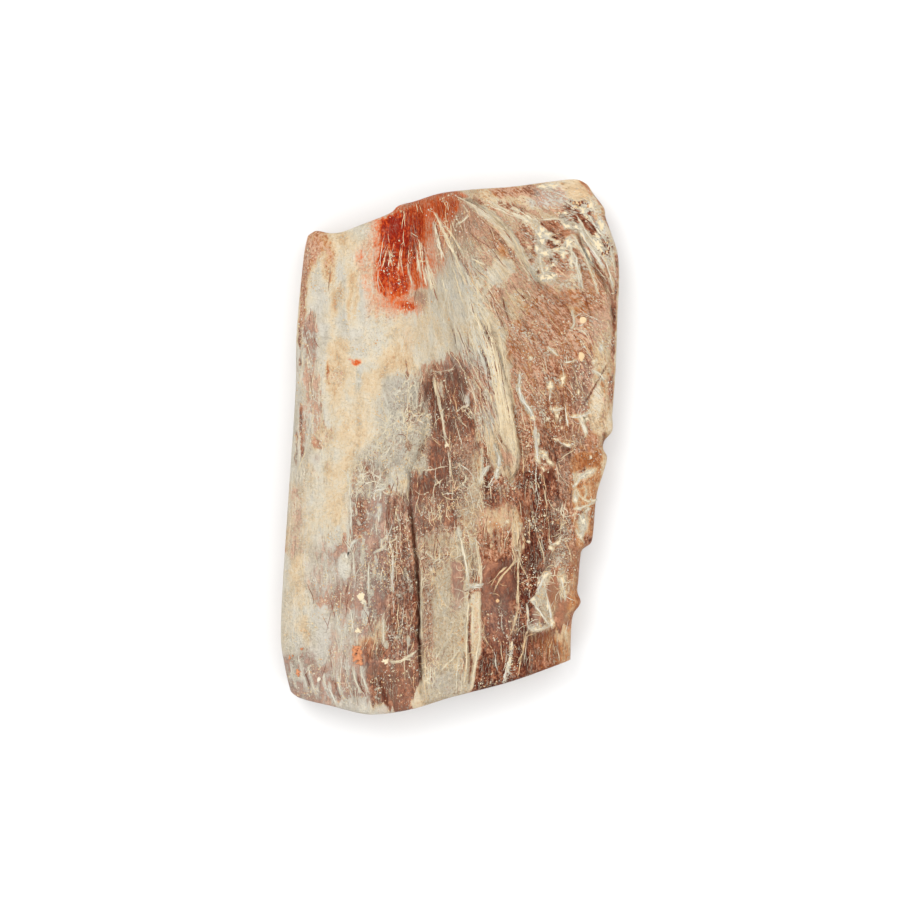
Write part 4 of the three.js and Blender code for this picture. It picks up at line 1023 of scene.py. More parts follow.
def lay_strip():
    """The cream strip right of the slit, its two ropes and its greyed window."""
    area(NET | dict(fat=0.85, fat_tone=0.44), 0.9, (-17.5, -46), (-5, -44), (4, -41),
         (7, -52), (10, -66), (10, -90), (9, -128), (-14, -136), (-14.2, -112), (-15.2, -95),
         (-15.2, -70))
    area(NET | dict(fat=0.2, fat_tone=0.56, lean_tone=0.46), 2.5, (-16.6, -48), (-2, -46),
         (1, -56), (-6, -64), (-9, -98), (-14.6, -104))
    area(NET | dict(fat=0.95, fat_tone=0.4, mottle=0.8), 3, (-9, -64), (-1, -64),
         (-1, -80), (5, -88), (7, -104), (-4, -108), (-7, -90))
    spot(NET | dict(fat=0.7, fat_tone=0.46), (-5, -47), (6, 4), soft=0.9)
    area(BROWN | SMOOTH | dict(veil=0.3), 1.4, (0.4, -56),
         (6, -57), (7, -68), (7.4, -76), (3, -79), (0.8, -72), ragged=0.3)
    spot(dict(fat=0.55, fat_tone=0.5, veil=0.35, mottle=0.4), (3.6, -79), (3.6, 3.4), soft=0.7)
    strand(dict(fat=0.2, lean_tone=0.4), 0.5, (-1, -80), (0.4, -79), (2, -80.6), (0.8, -82.4),
           (-1, -81.6))
    spot(AMBER | dict(fat=0.8), (6.2, -95.4), (0.9, 1.6), soft=0.6)
    spot(dict(fat_tone=0.26, veil=0.45, fat=0.8, lean_tone=0.5), (-4, -116), (8, 6), soft=0.7)
    spot(dict(fat=0.45, fat_tone=0.5), (-10, -106), (4, 6), soft=0.7)
    area(NET | dict(fat=0.4, lean_tone=0.45), 1.2, (6, -42), (13, -42), (14, -64), (9, -66))
    area(CREAM | dict(fat=0.8, mottle=0.9), 0.8, (10.6, -72), (15, -72),
         (15.6, -98), (13, -110), (10.4, -122), (8.6, -122), (10.4, -100), ragged=0.3)
    strands(PALE | dict(lift=0.25, fat=1.4),
            (1.1, (3.6, -38), (5, -46), (7, -54), (8.4, -64), (8.8, -69)),
            (0.6, (8.6, -66), (8.7, -80), (8, -94), (8, -108), (6, -122)),
            (0.4, (4.4, -104), (3.4, -113), (3, -123)), (0.4, (6.8, -104), (6, -113), (5.2, -123)),
            (0.8, (11.6, -44), (13, -50), (14.6, -56), (15.2, -64), (15, -70)),
            (0.6, (11, -72), (11, -86), (11.6, -98)),
            (0.6, (14.4, -70), (14.6, -84), (14.6, -96), (12.4, -108), (10.6, -121)),
            (0.4, (-13.6, -58), (-14.4, -74), (-14.2, -96)),
            (0.4, (-8, -106), (-3, -98), (0, -94)), (0.4, (-6, -112), (2, -104), (6, -98)),
            (0.3, (-12, -52), (-7, -56), (-3, -52)), (0.3, (-9, -76), (-5, -79), (-2, -86)),
            (0.4, (7, -40), (10, -46), (11, -54), (9, -60)))
    strand(WHITE | dict(lift=0.5), 1, (7.6, -67.4), (12, -68.8), (17, -68.2))
    strands(GAP_SHADE, (0.6, (10, -79), (9.4, -92), (9.8, -100), (10.4, -106), (9.4, -119)),
            (0.4, (9.6, -70), (9.6, -76)), (0.4, (6.4, -102), (6.6, -108), (5, -116)),
            (0.4, (10.4, -50), (11.4, -60), (12, -66)), (0.4, (5.6, -53), (7, -60), (7.6, -66)))
    # Painted shade down the slit.
    strand(dict(crease_shade=1, fat=0, frost=0, veil=0), 0.6, (-19.8, -25), (-19.2, -34),
           (-17.6, -46), (-16, -60), (-15.5, -72), (-15.4, -92), (-15, -104), (-14.6, -114))


def lay_lower_right():
    """The windows of lean meat between cords and frost, and the wood-brown corner."""
    area(BROWN, 1.4, (16, -38), (31, -36), (33, -56), (33, -76), (31, -92), (20, -98),
         (16, -90), (15, -76), (15, -60))
    area(BROWN | dict(lean_tone=0.46, blood=0.06), 1.6, (17, -20), (33, -16), (36, -26),
         (30, -34), (16, -32))
    area(TAN | dict(fat=0.3, lean_tone=0.46, hairs=0.6, mottle=0.7), 4, (15.4, -40), (31, -38),
         (32, -54), (17, -55))
    spot(TAN | dict(hairs=0.2, fat_tone=0.66, fat=0.66, mottle=0.2), (22, -35), (9, 5), soft=0.98)
    strands(dict(fat=0.05, lean_tone=0.6, frost=0), (0.7, (22, -40), (22.4, -47), (25, -54)),
            (0.7, (25.4, -40), (26, -45), (28.5, -48)),
            (0.8, (16, -54.4), (23, -56), (32.6, -54.4)), (0.5, (19, -42), (18.6, -48), (20, -53)),
            (0.6, (24, -50), (28, -51.4), (31, -50)), (0.5, (29.4, -42), (30, -47), (28.6, -51)))
    area(BROWN | SMOOTH | dict(lean_tone=0.76, blood=0.16, mottle=0.3, fat=-0.3), 1, (15.6, -50),
         (18, -56), (24, -58), (20.4, -66), (20, -78), (17, -84), (15.6, -76))
    area(BROWN | SMOOTH | dict(lean_tone=0.86, blood=0.1, mottle=0.3, fat=-0.3), 1.6, (24, -57),
         (33, -55), (33, -74), (29, -78), (20, -76), (21, -66))
    area(BROWN | SMOOTH | dict(fat=0.2, fat_tone=0.66, lean_tone=0.7, veil=0.2), 2.5,
         (20, -76), (29, -77), (31.6, -86), (26, -90), (18, -88))
    area(BROWN | SMOOTH | dict(lean_tone=0.88, mottle=0.3, fat=-0.3), 2, (17, -88), (28, -90),
         (31, -101), (20, -103))
    area(DARK | dict(lean_tone=0.8, fat=-0.1), 1.8, (33, -20), (43, -10), (54, -22),
         (58, -38), (52, -50), (51, -58), (42, -76), (34, -72), (33, -56), (33, -44))
    area(BROWN | dict(lean_tone=0.56, fat=0.15, fat_tone=0.75, mottle=0.5), 2, (33, -22),
         (41, -22), (40, -40), (35, -42))
    area(MUSCLE | dict(fat=0.2, lean_tone=0.64, curls=0.5), 2, (50, -26), (58, -28),
         (60, -42), (52, -40))
    area(DARK | dict(lean_tone=0.98, fat=-0.3, hairs=0.4), 1.6, (35, -41), (43, -46),
         (43, -62), (41, -75), (36, -73), (35, -56))
    area(FUZZ | dict(fat=0.3, fat_tone=0.3, lean_tone=0.6, veil=0, curls=1), 1.6, (50, -46),
         (58, -42), (60, -50), (60, -60), (50, -61), (49, -54))
    spot(DARK | dict(lean_tone=0.66, frost=0, blood=0.08), (46.3, -57), (3.2, 4.4), -20, soft=0.5)
    spot(DARK | dict(lean_tone=0.8, frost=0.2), (51.6, -43), (3.4, 2.6), soft=0.5)
    area(CREAM | dict(fat=0.75, fat_tone=0.5, hairs=1, mottle=0.9), 1, (30, -28), (34, -30),
         (36, -42), (37, -50), (33.6, -58), (31, -50), ragged=0.5)
    area(DARK | dict(lean_tone=0.9, fat=-0.3), 2, (35, -76), (42, -72),
         (48, -88), (44, -94), (32, -94))
    area(BROWN | SMOOTH | dict(fat=0.3, fat_tone=0.74, lean_tone=0.66, veil=0.08),
         1.2, (48, -64), (52, -61), (56, -63), (60, -68), (60, -87), (54, -90), (51.5, -88),
         (47.5, -74), ragged=0.3)
    area(BROWN | SMOOTH | dict(fat=0.25, lean_tone=0.66, veil=0.2), 0.8,
         (41, -79), (44, -80), (46.6, -87), (42, -88), (40.4, -84), ragged=0.3)
    area(FUZZ | dict(fat=0.8, fat_tone=0.36, lean_tone=0.4, veil=0, curls=1), 1, (44, -65),
         (49, -61), (51, -63), (47, -69), (47.4, -74), (51.6, -89), (49, -90), (45.6, -80),
         (40, -76), (43.6, -72), ragged=0.5)
    area(FUZZ | dict(fat=0.6, fat_tone=0.3), 1, (38, -87), (50, -88), (50, -92), (39, -92),
         ragged=0.5)
    area(FUZZ | dict(fat=0.7, fat_tone=0.3, veil=0), 1, (53.6, -64), (57, -62), (59, -70),
         (57.6, -77), (54, -72), ragged=0.6)
    area(MAROON | dict(lean_tone=0.84, hairs=0.8, frost=0.06), 1.4, (12, -102), (24, -102),
         (31, -98), (37, -93), (35, -104), (30, -126), (10, -128), (11, -112))
    area(AMBER | dict(fat=0.4, fat_tone=0.96, lean_tone=0.7, frost=-0.4, hairs=0.4), 1.6,
         (35, -104), (41, -97), (50, -91), (62, -91), (62, -112), (45, -118), (31, -122),
         ragged=0.4)
    left = [(40, -92), (36, -103), (32.5, -115)]
    right = [(57, -90), (53, -99), (47, -112)]
    fan(dict(fat=0.1, lean_tone=0.74), 0.8, 12, left, right, 6)
    fan(dict(fat=0.9, fat_tone=0.84), 0.6, 12, left, right, 7)
    fan(dict(fat=0.1, lean_tone=0.84), 0.4, 7, left, right, 8)
    spot(DARK | SMOOTH | dict(lean_tone=0.86), (43, -94), (9, 3.4), -20, soft=0.8)
    spot(DARK | SMOOTH | dict(lean_tone=0.84), (39, -101), (4, 7), -20, soft=0.9)
    spot(MAROON | dict(lean_tone=0.96), (30.6, -110), (4, 9), -20, soft=0.9)
    spot(BROWN | SMOOTH | dict(lean_tone=0.76), (51, -92.6), (6, 3.4), soft=0.9)
    area(CREAM | dict(fat=0.95, fat_tone=0.62, mottle=0.4), 1.4, (53.6, -91), (64, -86),
         (64, -110), (54, -112), (55.4, -100))
    spot(CREAM | dict(fat_tone=0.44), (57, -98), (1.8, 5), soft=0.7)
    area(TAN | dict(fat=0.4, fat_tone=0.84, lean_tone=0.56), 1.2, (59, -44), (68, -46),
         (68, -62), (64, -84), (60, -91), (58.5, -72))
    strands(WHITE | dict(lift=0.2), (0.6, (50, -61), (47, -64), (45, -68), (42, -74)),
            (0.6, (39.6, -75), (44, -81), (50, -89)), (0.5, (46.6, -68), (48.6, -77), (51.4, -89)),
            (0.5, (54, -63), (56, -68), (57.4, -76)), (0.5, (38, -77), (38.6, -84), (38, -89)),
            (0.5, (38, -89), (44, -90.4), (50, -89)),
            (0.9, (30.8, -94), (30.2, -102), (28.4, -110), (26.4, -118)),
            (0.4, (23.5, -101), (22.6, -107), (24, -112)),
            (0.5, (48, -45), (50.6, -48), (54, -46.6), (55.4, -43)))
    strands(PALE | dict(fat_tone=0.5, frost=0, lift=0.25),
            (0.4, (34, -52), (33.6, -66), (33.4, -80), (31, -90), (28, -96)),
            (0.6, (38.2, -91), (36.6, -98), (34.6, -106), (33, -115)),
            (0.5, (21, -73), (25, -65), (30, -59.6), (33.6, -55)),
            (0.4, (20, -70), (23.6, -63.6), (29, -58.4)),
            (0.5, (31.8, -30), (33.5, -40), (33, -50)), (0.4, (36, -42), (36.6, -48), (34, -56)),
            (0.4, (17, -86), (17, -94), (21, -101)), (0.4, (32, -34), (31, -42), (32, -50)))
    strands(GAP_SHADE, (0.4, (34.6, -57), (34.4, -66), (34.6, -76)),
            (0.4, (12, -107), (18, -103.6), (25, -101)),
            (0.4, (24, -100), (24.5, -106), (27, -112)),
            (0.4, (36, -50), (35.4, -54), (34.8, -58)), (0.4, (32, -93), (32.6, -100), (31, -108)),
            (0.4, (19, -72), (22, -64), (27, -58.6)))
    flakes([
        (47, -64, 2.4, 1.4, 35), (44.6, -67.4, 1, 2.4, -15), (41, -75.6, 1.6, 1, 30),
        (50.6, -87, 1.2, 2.4, 15), (48.6, -79, 0.9, 3, 15), (56, -66, 1, 2.6, 20),
        (29.4, -106, 0.9, 3.4, -12), (30.6, -98, 0.7, 2.6, 0), (53.4, -47.6, 2, 0.9, 20),
        (50, -50, 1.4, 1, -30), (43, -90.4, 2.4, 0.8, 0), (38.4, -82, 0.7, 2, 0),
        (47, -34, 0.7, 0.7, 0), (39, -47, 1, 0.7, 0), (28.6, -37, 0.8, 0.8, 0),
    ], rise=0.25)
    drop(0.6, (23.6, -76.2), (0.9, 1), 0, 0.5)
    spot(dict(lean_tone=0.82, fat=-0.1), (20, -22), (3.4, 6), soft=0.9)
    spot(dict(fat_tone=0.7, lean_tone=0.62), (51, -90), (5, 10), soft=0.95)


def lay_lower_corner():
    """Tan fat down the inside of the torn edge, and browned lean in the lower right corner."""
    spot(dict(fat_tone=0.76, veil=0, frost=0.05), (57, -5), (8, 62), soft=0.8)
    spot(AMBER | dict(fat=0.5, fat_tone=0.92, lean_tone=0.72, hairs=1, mottle=0.4), (48, -102),
         (11, 7), 15, soft=0.8)
    spot(BROWN | dict(fat=0.15, fat_tone=0.7, lean_tone=0.76, veil=0.12, hairs=0.3, mottle=0.4),
         (25, -89), (8, 11), soft=0.85)
    spot(dict(lean_tone=0.84, fat=-0.1, veil=0), (35, -106), (8, 8), soft=0.9)


def lay_torn_edge():
    """The amber lumps and white webs along the right edge."""
    area(AMBER | dict(fat=0.8, fat_tone=0.86), 1.3, (61, -4), (66, -1), (78, -1),
         (80, -8), (78, -16), (76, -30), (73, -50), (64, -48), (59, -30), (60, -18), (61, -12),
         ragged=0.5)
    spot(AMBER | dict(fat=0.3, blood=0.05), (70.6, 3), (2.6, 4.4), soft=0.6)
    spot(AMBER | dict(fat_tone=0.92), (66, -8), (5, 4.4), soft=0.7)
    spot(AMBER | dict(fat_tone=0.76), (70, -20), (4, 5), soft=0.7)
    spot(DARK | dict(lean_tone=0.5, frost=0.4), (65, -34), (3.4, 4), soft=0.7)
    spot(WHITE | dict(frost=0.6, fat=0.8), (66, -38), (2.4, 4.6), soft=0.6)
    spot(DARK | dict(fat_tone=0.9), (68.5, -46), (2.4, 2.6), soft=0.6)
    area(CREAM | dict(fat_tone=0.5, mottle=0.7), 0.9, (75, 0), (78, -2), (79, -9), (76.6, -18),
         (76, -32), (73.6, -48), (71.6, -46), (73.6, -28), (74.4, -14), ragged=0.4)
    strands(WHITE | dict(lift=0.2, fat_tone=0.2),
            (0.6, (72, -11), (68, -12.6), (64.6, -15.6), (61.8, -19)),
            (0.35, (62.5, -20), (64.5, -24.5), (69, -27), (73, -26)),
            (0.4, (60, -31), (65, -30), (70, -28.5), (73, -28)),
            (0.4, (64, -33), (66, -38), (66, -44)), (0.4, (62, -40), (64, -44), (67, -48)),
            (0.3, (61, -12), (62, -20), (61, -28)), (0.3, (66, -18), (67.4, -22), (66.6, -26)))
    spot(PINK | dict(fat=0.7, fat_tone=0.2, frost=0.3), (67, -13.4), (5, 2.2), 20, soft=0.7)
    flakes([
        (69.6, -12.6, 2, 0.7, 20), (66, -14.4, 1.6, 0.9, 40), (62.6, -18.4, 0.6, 1.8, -40),
        (71.6, -26.6, 1.8, 0.6, 10), (63.6, -30.6, 1.4, 0.8, 0),
        (66.4, -37, 1, 3, 10), (65, -44, 1.4, 1.6, 0), (62.4, -26, 0.9, 1.8, 0),
        (68.4, -31, 1.4, 0.8, 20), (70, -5, 0.6, 0.8, 0),
    ], tone=0.2)
    strands(DARK, (0.6, (60.4, -18), (60, -26), (61, -34)),
            (0.5, (62, -3), (66, -1.6), (70, -2.4)), (0.5, (63.4, -13), (66, -12), (68, -10)))
    spot(AMBER | dict(fat_tone=0.97, mottle=0.5), (64, -76), (2.4, 8), soft=0.6)
    spot(AMBER, (77, 118), (2, 2.4), soft=0.6)


def lay_last_tints():
    """Tints over several parts: pale fat above the leaf, thin blood and cream beside the stain, and
    dark lean at the bottom end."""
    spot(dict(lean_tone=0.1, fat_tone=0.12, fat=0.8, crease_shade=0), (6, 85), (12, 13), 20, soft=0.95)
    spot(dict(blood=0.24, lean_tone=0.1), (-7, 98), (5, 9), 15, soft=0.95)
    spot(dict(fat=1.1, fat_tone=0.2, veil=0), (0, 72), (5, 12), 20, soft=0.95)
    spot(dict(lean_tone=0.8, fat=0.1), (28, -111), (7, 6), 20, soft=0.95)


for lay_part in (
    lay_top_left, lay_left_edge, lay_middle, lay_leaf, lay_pad, lay_stain, lay_right_side,
    lay_top_middle, lay_plateau, lay_lower_left, lay_lower_right, lay_strip, lay_lower_corner,
    lay_torn_edge, lay_last_tints,
):
    lay_part()


# ---- The relief of the top ---------------------------------------------------------------------

def fade_at_ends(along):
    return smoothstep(0, END_TAPER, np.minimum(along, 1 - along))


# How far things stand out of the top or lie in it, in millimetres.
COARSE_FIBRES = 0.9
FINE_FIBRES = 0.5
LUMPINESS = 0.7
FAT_RISE = 0.35
FROST_RISE = 0.3
CREASE_DEPTH = 0.3
LIFT_SHARE = 0.6  # of a lift, the share that the slab itself takes


def relief_of_plan():
    """Heights over the plain slab, in millimetres, for every cell of the plan."""
    x = PLAN_X
    y = PLAN_Y
    z = UNEVENNESS * np.sin(x / 9 + y / 23) * np.sin(y / 13 - x / 31)
    for at, across, length, rise in PADS:
        z += rise * bell(np.hypot((x - at[0]) / across, (y - at[1]) / length), 1)
    for points, upper, rise, reach, gap in LAPS.values():
        distance, side, along = from_line(smooth_line(points), FINE_X, FINE_Y)
        edge = smoothstep(0, LAP_STEEPNESS, distance)
        cut = -gap * bell(distance, GAP_HALF_WIDTH)
        above = rise * edge * np.exp(-distance / reach) + cut * (1 - edge)
        z += fade_at_ends(along) * np.where(side == upper, above, cut)
    for points, rise, half in RIDGES.values():
        distance, _, along = from_line(smooth_line(points), FINE_X, FINE_Y)
        z += fade_at_ends(along) * rise * bell(distance, half)
    soft_fat = np.clip(tissue["fat"], 0, 1) * (1 - tissue["crease_shade"])
    frosted = np.clip(tissue["frost"], 0, 1)
    z += COARSE_FIBRES * (fibres(2.6, 26, 50) - 0.5) + FINE_FIBRES * (fibres(1.1, 12, 52) - 0.5)
    z += LUMPINESS * (cloud(x / 4, y / 5, 54) - 0.5)
    z += FAT_RISE * soft_fat + FROST_RISE * frosted * cloud(x / 1.1, y / 1.4, 56)
    z += LIFT_SHARE * tissue["lift"] - CREASE_DEPTH * tissue["crease_shade"]
    return z


RELIEF = relief_of_plan()


# ---- The mesh ----------------------------------------------------------------------------------

COLUMNS = 232
ROWS = 356
UNDER_COLUMNS = 54
UNDER_ROWS = 88
SIDE_RINGS = 8
SIDE_INSET = 1.7  # how far the sides draw in below the rim
SIDE_HOLLOW = 0.5
SIDE_WAVES = 0.9
SIDE_BLEND = 4.0  # how far down the top's tissues reach
STATION_STEPS = 2000

# Where the net's lines lie closer together: share of the way, half-width and how much.
COLUMN_CROWDS = [(0, 0.03, 0.9), (1, 0.03, 0.7), (0.43, 0.035, 1.1)]
ROW_CROWDS = [(0, 0.02, 0.7), (1, 0.02, 0.7)]

WIDTH = BOTTOM_RIGHT[0] - BOTTOM_LEFT[0]
LENGTH = TOP_LEFT[1] - BOTTOM_LEFT[1]


def stations(count, crowds=()):
    """Shares from 0 to 1, which lie closer together round some places."""
    t = np.linspace(0, 1, STATION_STEPS + 1)
    density = np.ones_like(t) + sum(much * bell(t - at, half) for at, half, much in crowds)
    gone = np.append(0, np.cumsum(density[1:] + density[:-1]))
    return np.interp(np.linspace(0, 1, count + 1), gone / gone[-1], t)


def plan_at(u, v):
    """Where column u and row v of the net lie in the outline."""
    left_y = lerp(BOTTOM_LEFT[1], TOP_LEFT[1], v)
    right_y = lerp(BOTTOM_RIGHT[1], TOP_RIGHT[1], v)
    bottom_x = lerp(BOTTOM_LEFT[0], BOTTOM_RIGHT[0], u)
    top_x = lerp(TOP_LEFT[0], TOP_RIGHT[0], u)
    sides = [
        (read_stations(LEFT_SIDE, left_y), read_stations(RIGHT_SIDE, right_y), bottom_x, top_x),
        (left_y, right_y, read_stations(BOTTOM_END, bottom_x), read_stations(TOP_END, top_x)),
    ]
    place = []
    for k, (left, right, bottom, top) in enumerate(sides):
        low = lerp(BOTTOM_LEFT[k], BOTTOM_RIGHT[k], u)
        high = lerp(TOP_LEFT[k], TOP_RIGHT[k], u)
        place.append(lerp(left, right, u) + lerp(bottom, top, v) - lerp(low, high, v))
    return place


def inset_plan(u, v, inset):
    """The same, drawn in from the outline's sides by an inset."""
    du = inset / WIDTH
    dv = inset / LENGTH
    return plan_at(lerp(du, 1 - du, u), lerp(dv, 1 - dv, v))


def top_height(u, v, x, y):
    """Height of the top at (x, y), which is column u and row v of the net."""
    width = plan_at(np.ones_like(v), v)[0] - plan_at(np.zeros_like(v), v)[0]
    length = plan_at(u, np.ones_like(u))[1] - plan_at(u, np.zeros_like(u))[1]
    z = THICKNESS + lerp(TAPER, -TAPER, u) + sample(RELIEF, x, y)
    z -= EDGE_DROP["left"] * round_off(u * width, EDGE_ROUND["left"])
    z -= EDGE_DROP["right"] * round_off((1 - u) * width, EDGE_ROUND["right"])
    z -= EDGE_DROP["bottom"] * round_off(v * length, EDGE_ROUND["bottom"])
    z -= EDGE_DROP["top"] * round_off((1 - v) * length, EDGE_ROUND["top"])
    return z


def under_height(u, v):
    """Height of the underside: valleys between ribs, which are shallower towards their ends."""
    from_valley = np.abs((v * RIBS + 0.5) % 1 - 0.5) * 2
    depth = 1 - smoothstep(0, 2 / 3, from_valley)
    return RIB_VALLEY * depth * (1 - 0.5 * (2 * u - 1) ** 2)


def net(us, vs):
    """Shares (u, v) of every point of a net, row after row."""
    u, v = np.meshgrid(us, vs)
    return u.ravel(), v.ravel()


def net_faces(columns, rows, first, up):
    """The quads of a net whose points are numbered from first, row after row."""
    c, r = np.meshgrid(np.arange(columns), np.arange(rows))
    a = (first + r * (columns + 1) + c).ravel()
    quads = np.stack([a, a + 1, a + columns + 2, a + columns + 1], axis=1)
    return (quads if up else quads[:, ::-1]).tolist()


def rim_numbers(columns, rows, first):
    """The points round a net's rim, counterclockwise from its lowest corner."""
    wide = columns + 1
    south = first + np.arange(columns)
    east = first + columns + wide * np.arange(rows)
    north = first + wide * rows + np.arange(columns, 0, -1)
    west = first + wide * np.arange(rows, 0, -1)
    return np.concatenate([south, east, north, west])


def rim_places(us, vs):
    """How far round the rim each of those points is, from 0 to 4, one for each side."""
    return np.concatenate([us[:-1], 1 + vs[:-1], 3 - us[:0:-1], 4 - vs[:0:-1]])


def join_rims(upper, upper_places, lower, lower_places):
    """Triangles between two rims, always stepping along the one that is behind."""
    faces = []
    high = np.append(upper_places, 4)
    low = np.append(lower_places, 4)
    i = 0
    j = 0
    while i < len(upper) or j < len(lower):
        a = int(upper[i % len(upper)])
        b = int(lower[j % len(lower)])
        if j >= len(lower) or (i < len(upper) and high[i + 1] <= low[j + 1]):
            i += 1
            faces.append([a, b, int(upper[i % len(upper)])])
        else:
            j += 1
            faces.append([a, b, int(lower[j % len(lower)])])
    return faces


def ring_inset(girth, edge_z, down):
    """How far a ring of the sides lies in from the outline, with waves for fat and lean."""
    waves = SIDE_WAVES * (cloud(girth / 9, edge_z * down / 2.2, 60) - 0.5)
    drawn_in = SIDE_INSET * smoothstep(0, 0.7, down)
    return drawn_in + (SIDE_HOLLOW + waves) * math.sin(math.pi * down) ** 0.5


def build_slab_mesh():
    """Returns points in millimetres, faces, and each point's depth below the top edge."""
    us = stations(COLUMNS, COLUMN_CROWDS)
    vs = stations(ROWS, ROW_CROWDS)
    u, v = net(us, vs)
    x, y = plan_at(u, v)
    z = top_height(u, v, x, y)
    points = [np.stack([x, y, z], axis=1)]
    depths = [np.zeros(len(x))]
    faces = net_faces(COLUMNS, ROWS, 0, up=True)
    count = len(x)

    rim = rim_numbers(COLUMNS, ROWS, 0)
    rim_u = u[rim]
    rim_v = v[rim]
    edge_z = z[rim]
    above = rim
    girth = np.cumsum(np.hypot(*(np.diff(np.append(c[rim], c[rim][0])) for c in (x, y))))
    for ring in range(1, SIDE_RINGS + 1):
        down = ring / SIDE_RINGS
        ring_x, ring_y = inset_plan(rim_u, rim_v, ring_inset(girth, edge_z, down))
        ring_z = lerp(edge_z, FOOT, down)
        points.append(np.stack([ring_x, ring_y, ring_z], axis=1))
        depths.append(edge_z - ring_z)
        numbers = count + np.arange(len(rim))
        count += len(rim)
        nearer = np.roll(above, -1)
        faces += np.stack([above, numbers, np.roll(numbers, -1), nearer], axis=1).tolist()
        above = numbers

    under_us = stations(UNDER_COLUMNS)
    under_vs = stations(UNDER_ROWS)
    s, t = net(under_us, under_vs)
    x, y = inset_plan(s, t, UNDER_INSET)
    z = under_height(s, t)
    points.append(np.stack([x, y, z], axis=1))
    depths.append(np.full(len(x), THICKNESS))
    faces += net_faces(UNDER_COLUMNS, UNDER_ROWS, count, up=False)
    under_rim = rim_numbers(UNDER_COLUMNS, UNDER_ROWS, count)
    faces += join_rims(above, rim_places(us, vs), under_rim, rim_places(under_us, under_vs))
    return np.vstack(points), faces, np.concatenate(depths)


def tissue_of_sides(points, depths, values):
    """Layers of fat and lean down the sides, and membranes over ribs on the underside."""
    x, y, z = points.T
    girth = np.where(np.abs(x) > 55, y, x)
    share = smoothstep(0, SIDE_BLEND, depths)
    sides = {
        "fat": 0.15 + 0.8 * smoothstep(0.42, 0.56, cloud(girth / 14 + 3, z / 2.1, 70)),
        "fat_tone": 0.25 + 0.5 * cloud(girth / 8, z / 5, 74),
        "lean_tone": 0.35 + 0.45 * cloud(girth / 10, z / 3, 78),
    }
    for name, value in sides.items():
        values[name] = lerp(values[name], value, share)
    for name in ("crease_shade", "blood"):
        values[name] = values[name] * (1 - share)

    valley = under_height(np.full(len(y), 0.5), (y + LENGTH / 2) / LENGTH) / RIB_VALLEY
    underside = {
        "fat": 0.15 + 0.75 * smoothstep(0.35, 0.65, cloud(x / 7, y / 3, 80) - 0.35 * valley + 0.15),
        "fat_tone": 0.15 + 0.4 * cloud(x / 12, y / 6, 86),
        "lean_tone": 0.4 + 0.3 * cloud(x / 9, y / 9, 84),
    }
    for name, value in underside.items():
        values[name] = np.where(depths >= THICKNESS, value, values[name])


def middle_of_outline():
    """The outline's middle, which the solid has at its origin."""
    x, y = plan_at(*net(stations(COLUMNS), stations(ROWS)))
    return (x.min() + x.max()) / 2, (y.min() + y.max()) / 2


MIDDLE = middle_of_outline()


def to_metres(points):
    return (points - np.array([*MIDDLE, 0])) * MM


def mesh_object(name, points, faces, material, values=None):
    """Makes a smooth mesh of points in millimetres, with a float value for each point."""
    mesh = bpy.data.meshes.new(name)
    mesh.from_pydata(to_metres(points).tolist(), [], faces)
    mesh.shade_smooth()
    for field, value in (values or {}).items():
        layer = mesh.attributes.new(field, "FLOAT", "POINT")
        layer.data.foreach_set("value", np.ascontiguousarray(value, np.float32))
    mesh.materials.append(material)
    thing = bpy.data.objects.new(name, mesh)
    bpy.context.scene.collection.objects.link(thing)
    return thing


# ---- What stands on the top ---------------------------------------------------------------------

def surface(x, y):
    """Height of the slab's top at places in the outline, whose shares are found by stepping."""
    u = np.full(x.shape, 0.5)
    v = np.full(x.shape, 0.5)
    for _ in range(12):
        near_x, near_y = plan_at(u, v)
        u = np.clip(u + (x - near_x) / WIDTH, 0, 1)
        v = np.clip(v + (y - near_y) / LENGTH, 0, 1)
    return top_height(u, v, x, y)


def direction(paths):
    """The unit direction at every station of the paths."""
    run = np.gradient(paths, axis=1)
    return run / (np.linalg.norm(run, axis=2, keepdims=True) + 1e-9)


def tubes(paths, halves, rises):
    """Closed tubes along paths, an array of (tube, station, xy), half sunk into the top."""
    run = direction(paths)
    turn = (np.arange(TUBE_SIDES) + 0.5) * 2 * math.pi / TUBE_SIDES
    aside = np.cos(turn) * halves[..., None]
    x, y = paths[..., 0], paths[..., 1]
    points = np.stack([
        x[..., None] - run[..., 1, None] * aside,
        y[..., None] + run[..., 0, None] * aside,
        surface(x, y)[..., None] + np.sin(turn) * rises[..., None],
    ], axis=-1)
    number = np.arange(points.size // 3).reshape(points.shape[:3])
    near = number[:, :-1]
    far = number[:, 1:]
    around = [near, np.roll(near, -1, 2), np.roll(far, -1, 2), far]
    walls = np.stack(around, axis=-1).reshape(-1, 4)
    ends = np.concatenate([number[:, 0, ::-1], number[:, -1]])
    return points.reshape(-1, 3), [walls, ends]


def gather(parts):
    """Joins (points, arrays of faces, tones) parts into one."""
    faces = []
    first = 0
    for points, arrays, _ in parts:
        for array in arrays:
            faces += (array + first).tolist()
        first += len(points)
    points = np.vstack([points for points, _, _ in parts])
    return points, faces, np.concatenate([tones for _, _, tones in parts])


def narrowing(count):
    """A tube's share of its full width at each of its stations."""
    t = np.linspace(-1, 1, count)
    return 0.12 + 0.88 * (1 - np.abs(t) ** 2.2)


def pulled_in(path):
    """A path whose places keep a margin from the outline's sides."""
    x, y = path[..., 0], path[..., 1]
    left, right = read_stations(LEFT_SIDE, y), read_stations(RIGHT_SIDE, y)
    x = np.clip(x, left + CORD_MARGIN, right - CORD_MARGIN)
    bottom, top = read_stations(BOTTOM_END, x), read_stations(TOP_END, x)
    y = np.clip(y, bottom + CORD_MARGIN, top - CORD_MARGIN)
    return np.stack([x, y], axis=-1)


def lumps_on(path, size, seed):
    """Smooth noise at the places of a path, whose lumps have that size."""
    return lumps(path[..., 0] / size, path[..., 1] / size, seed)


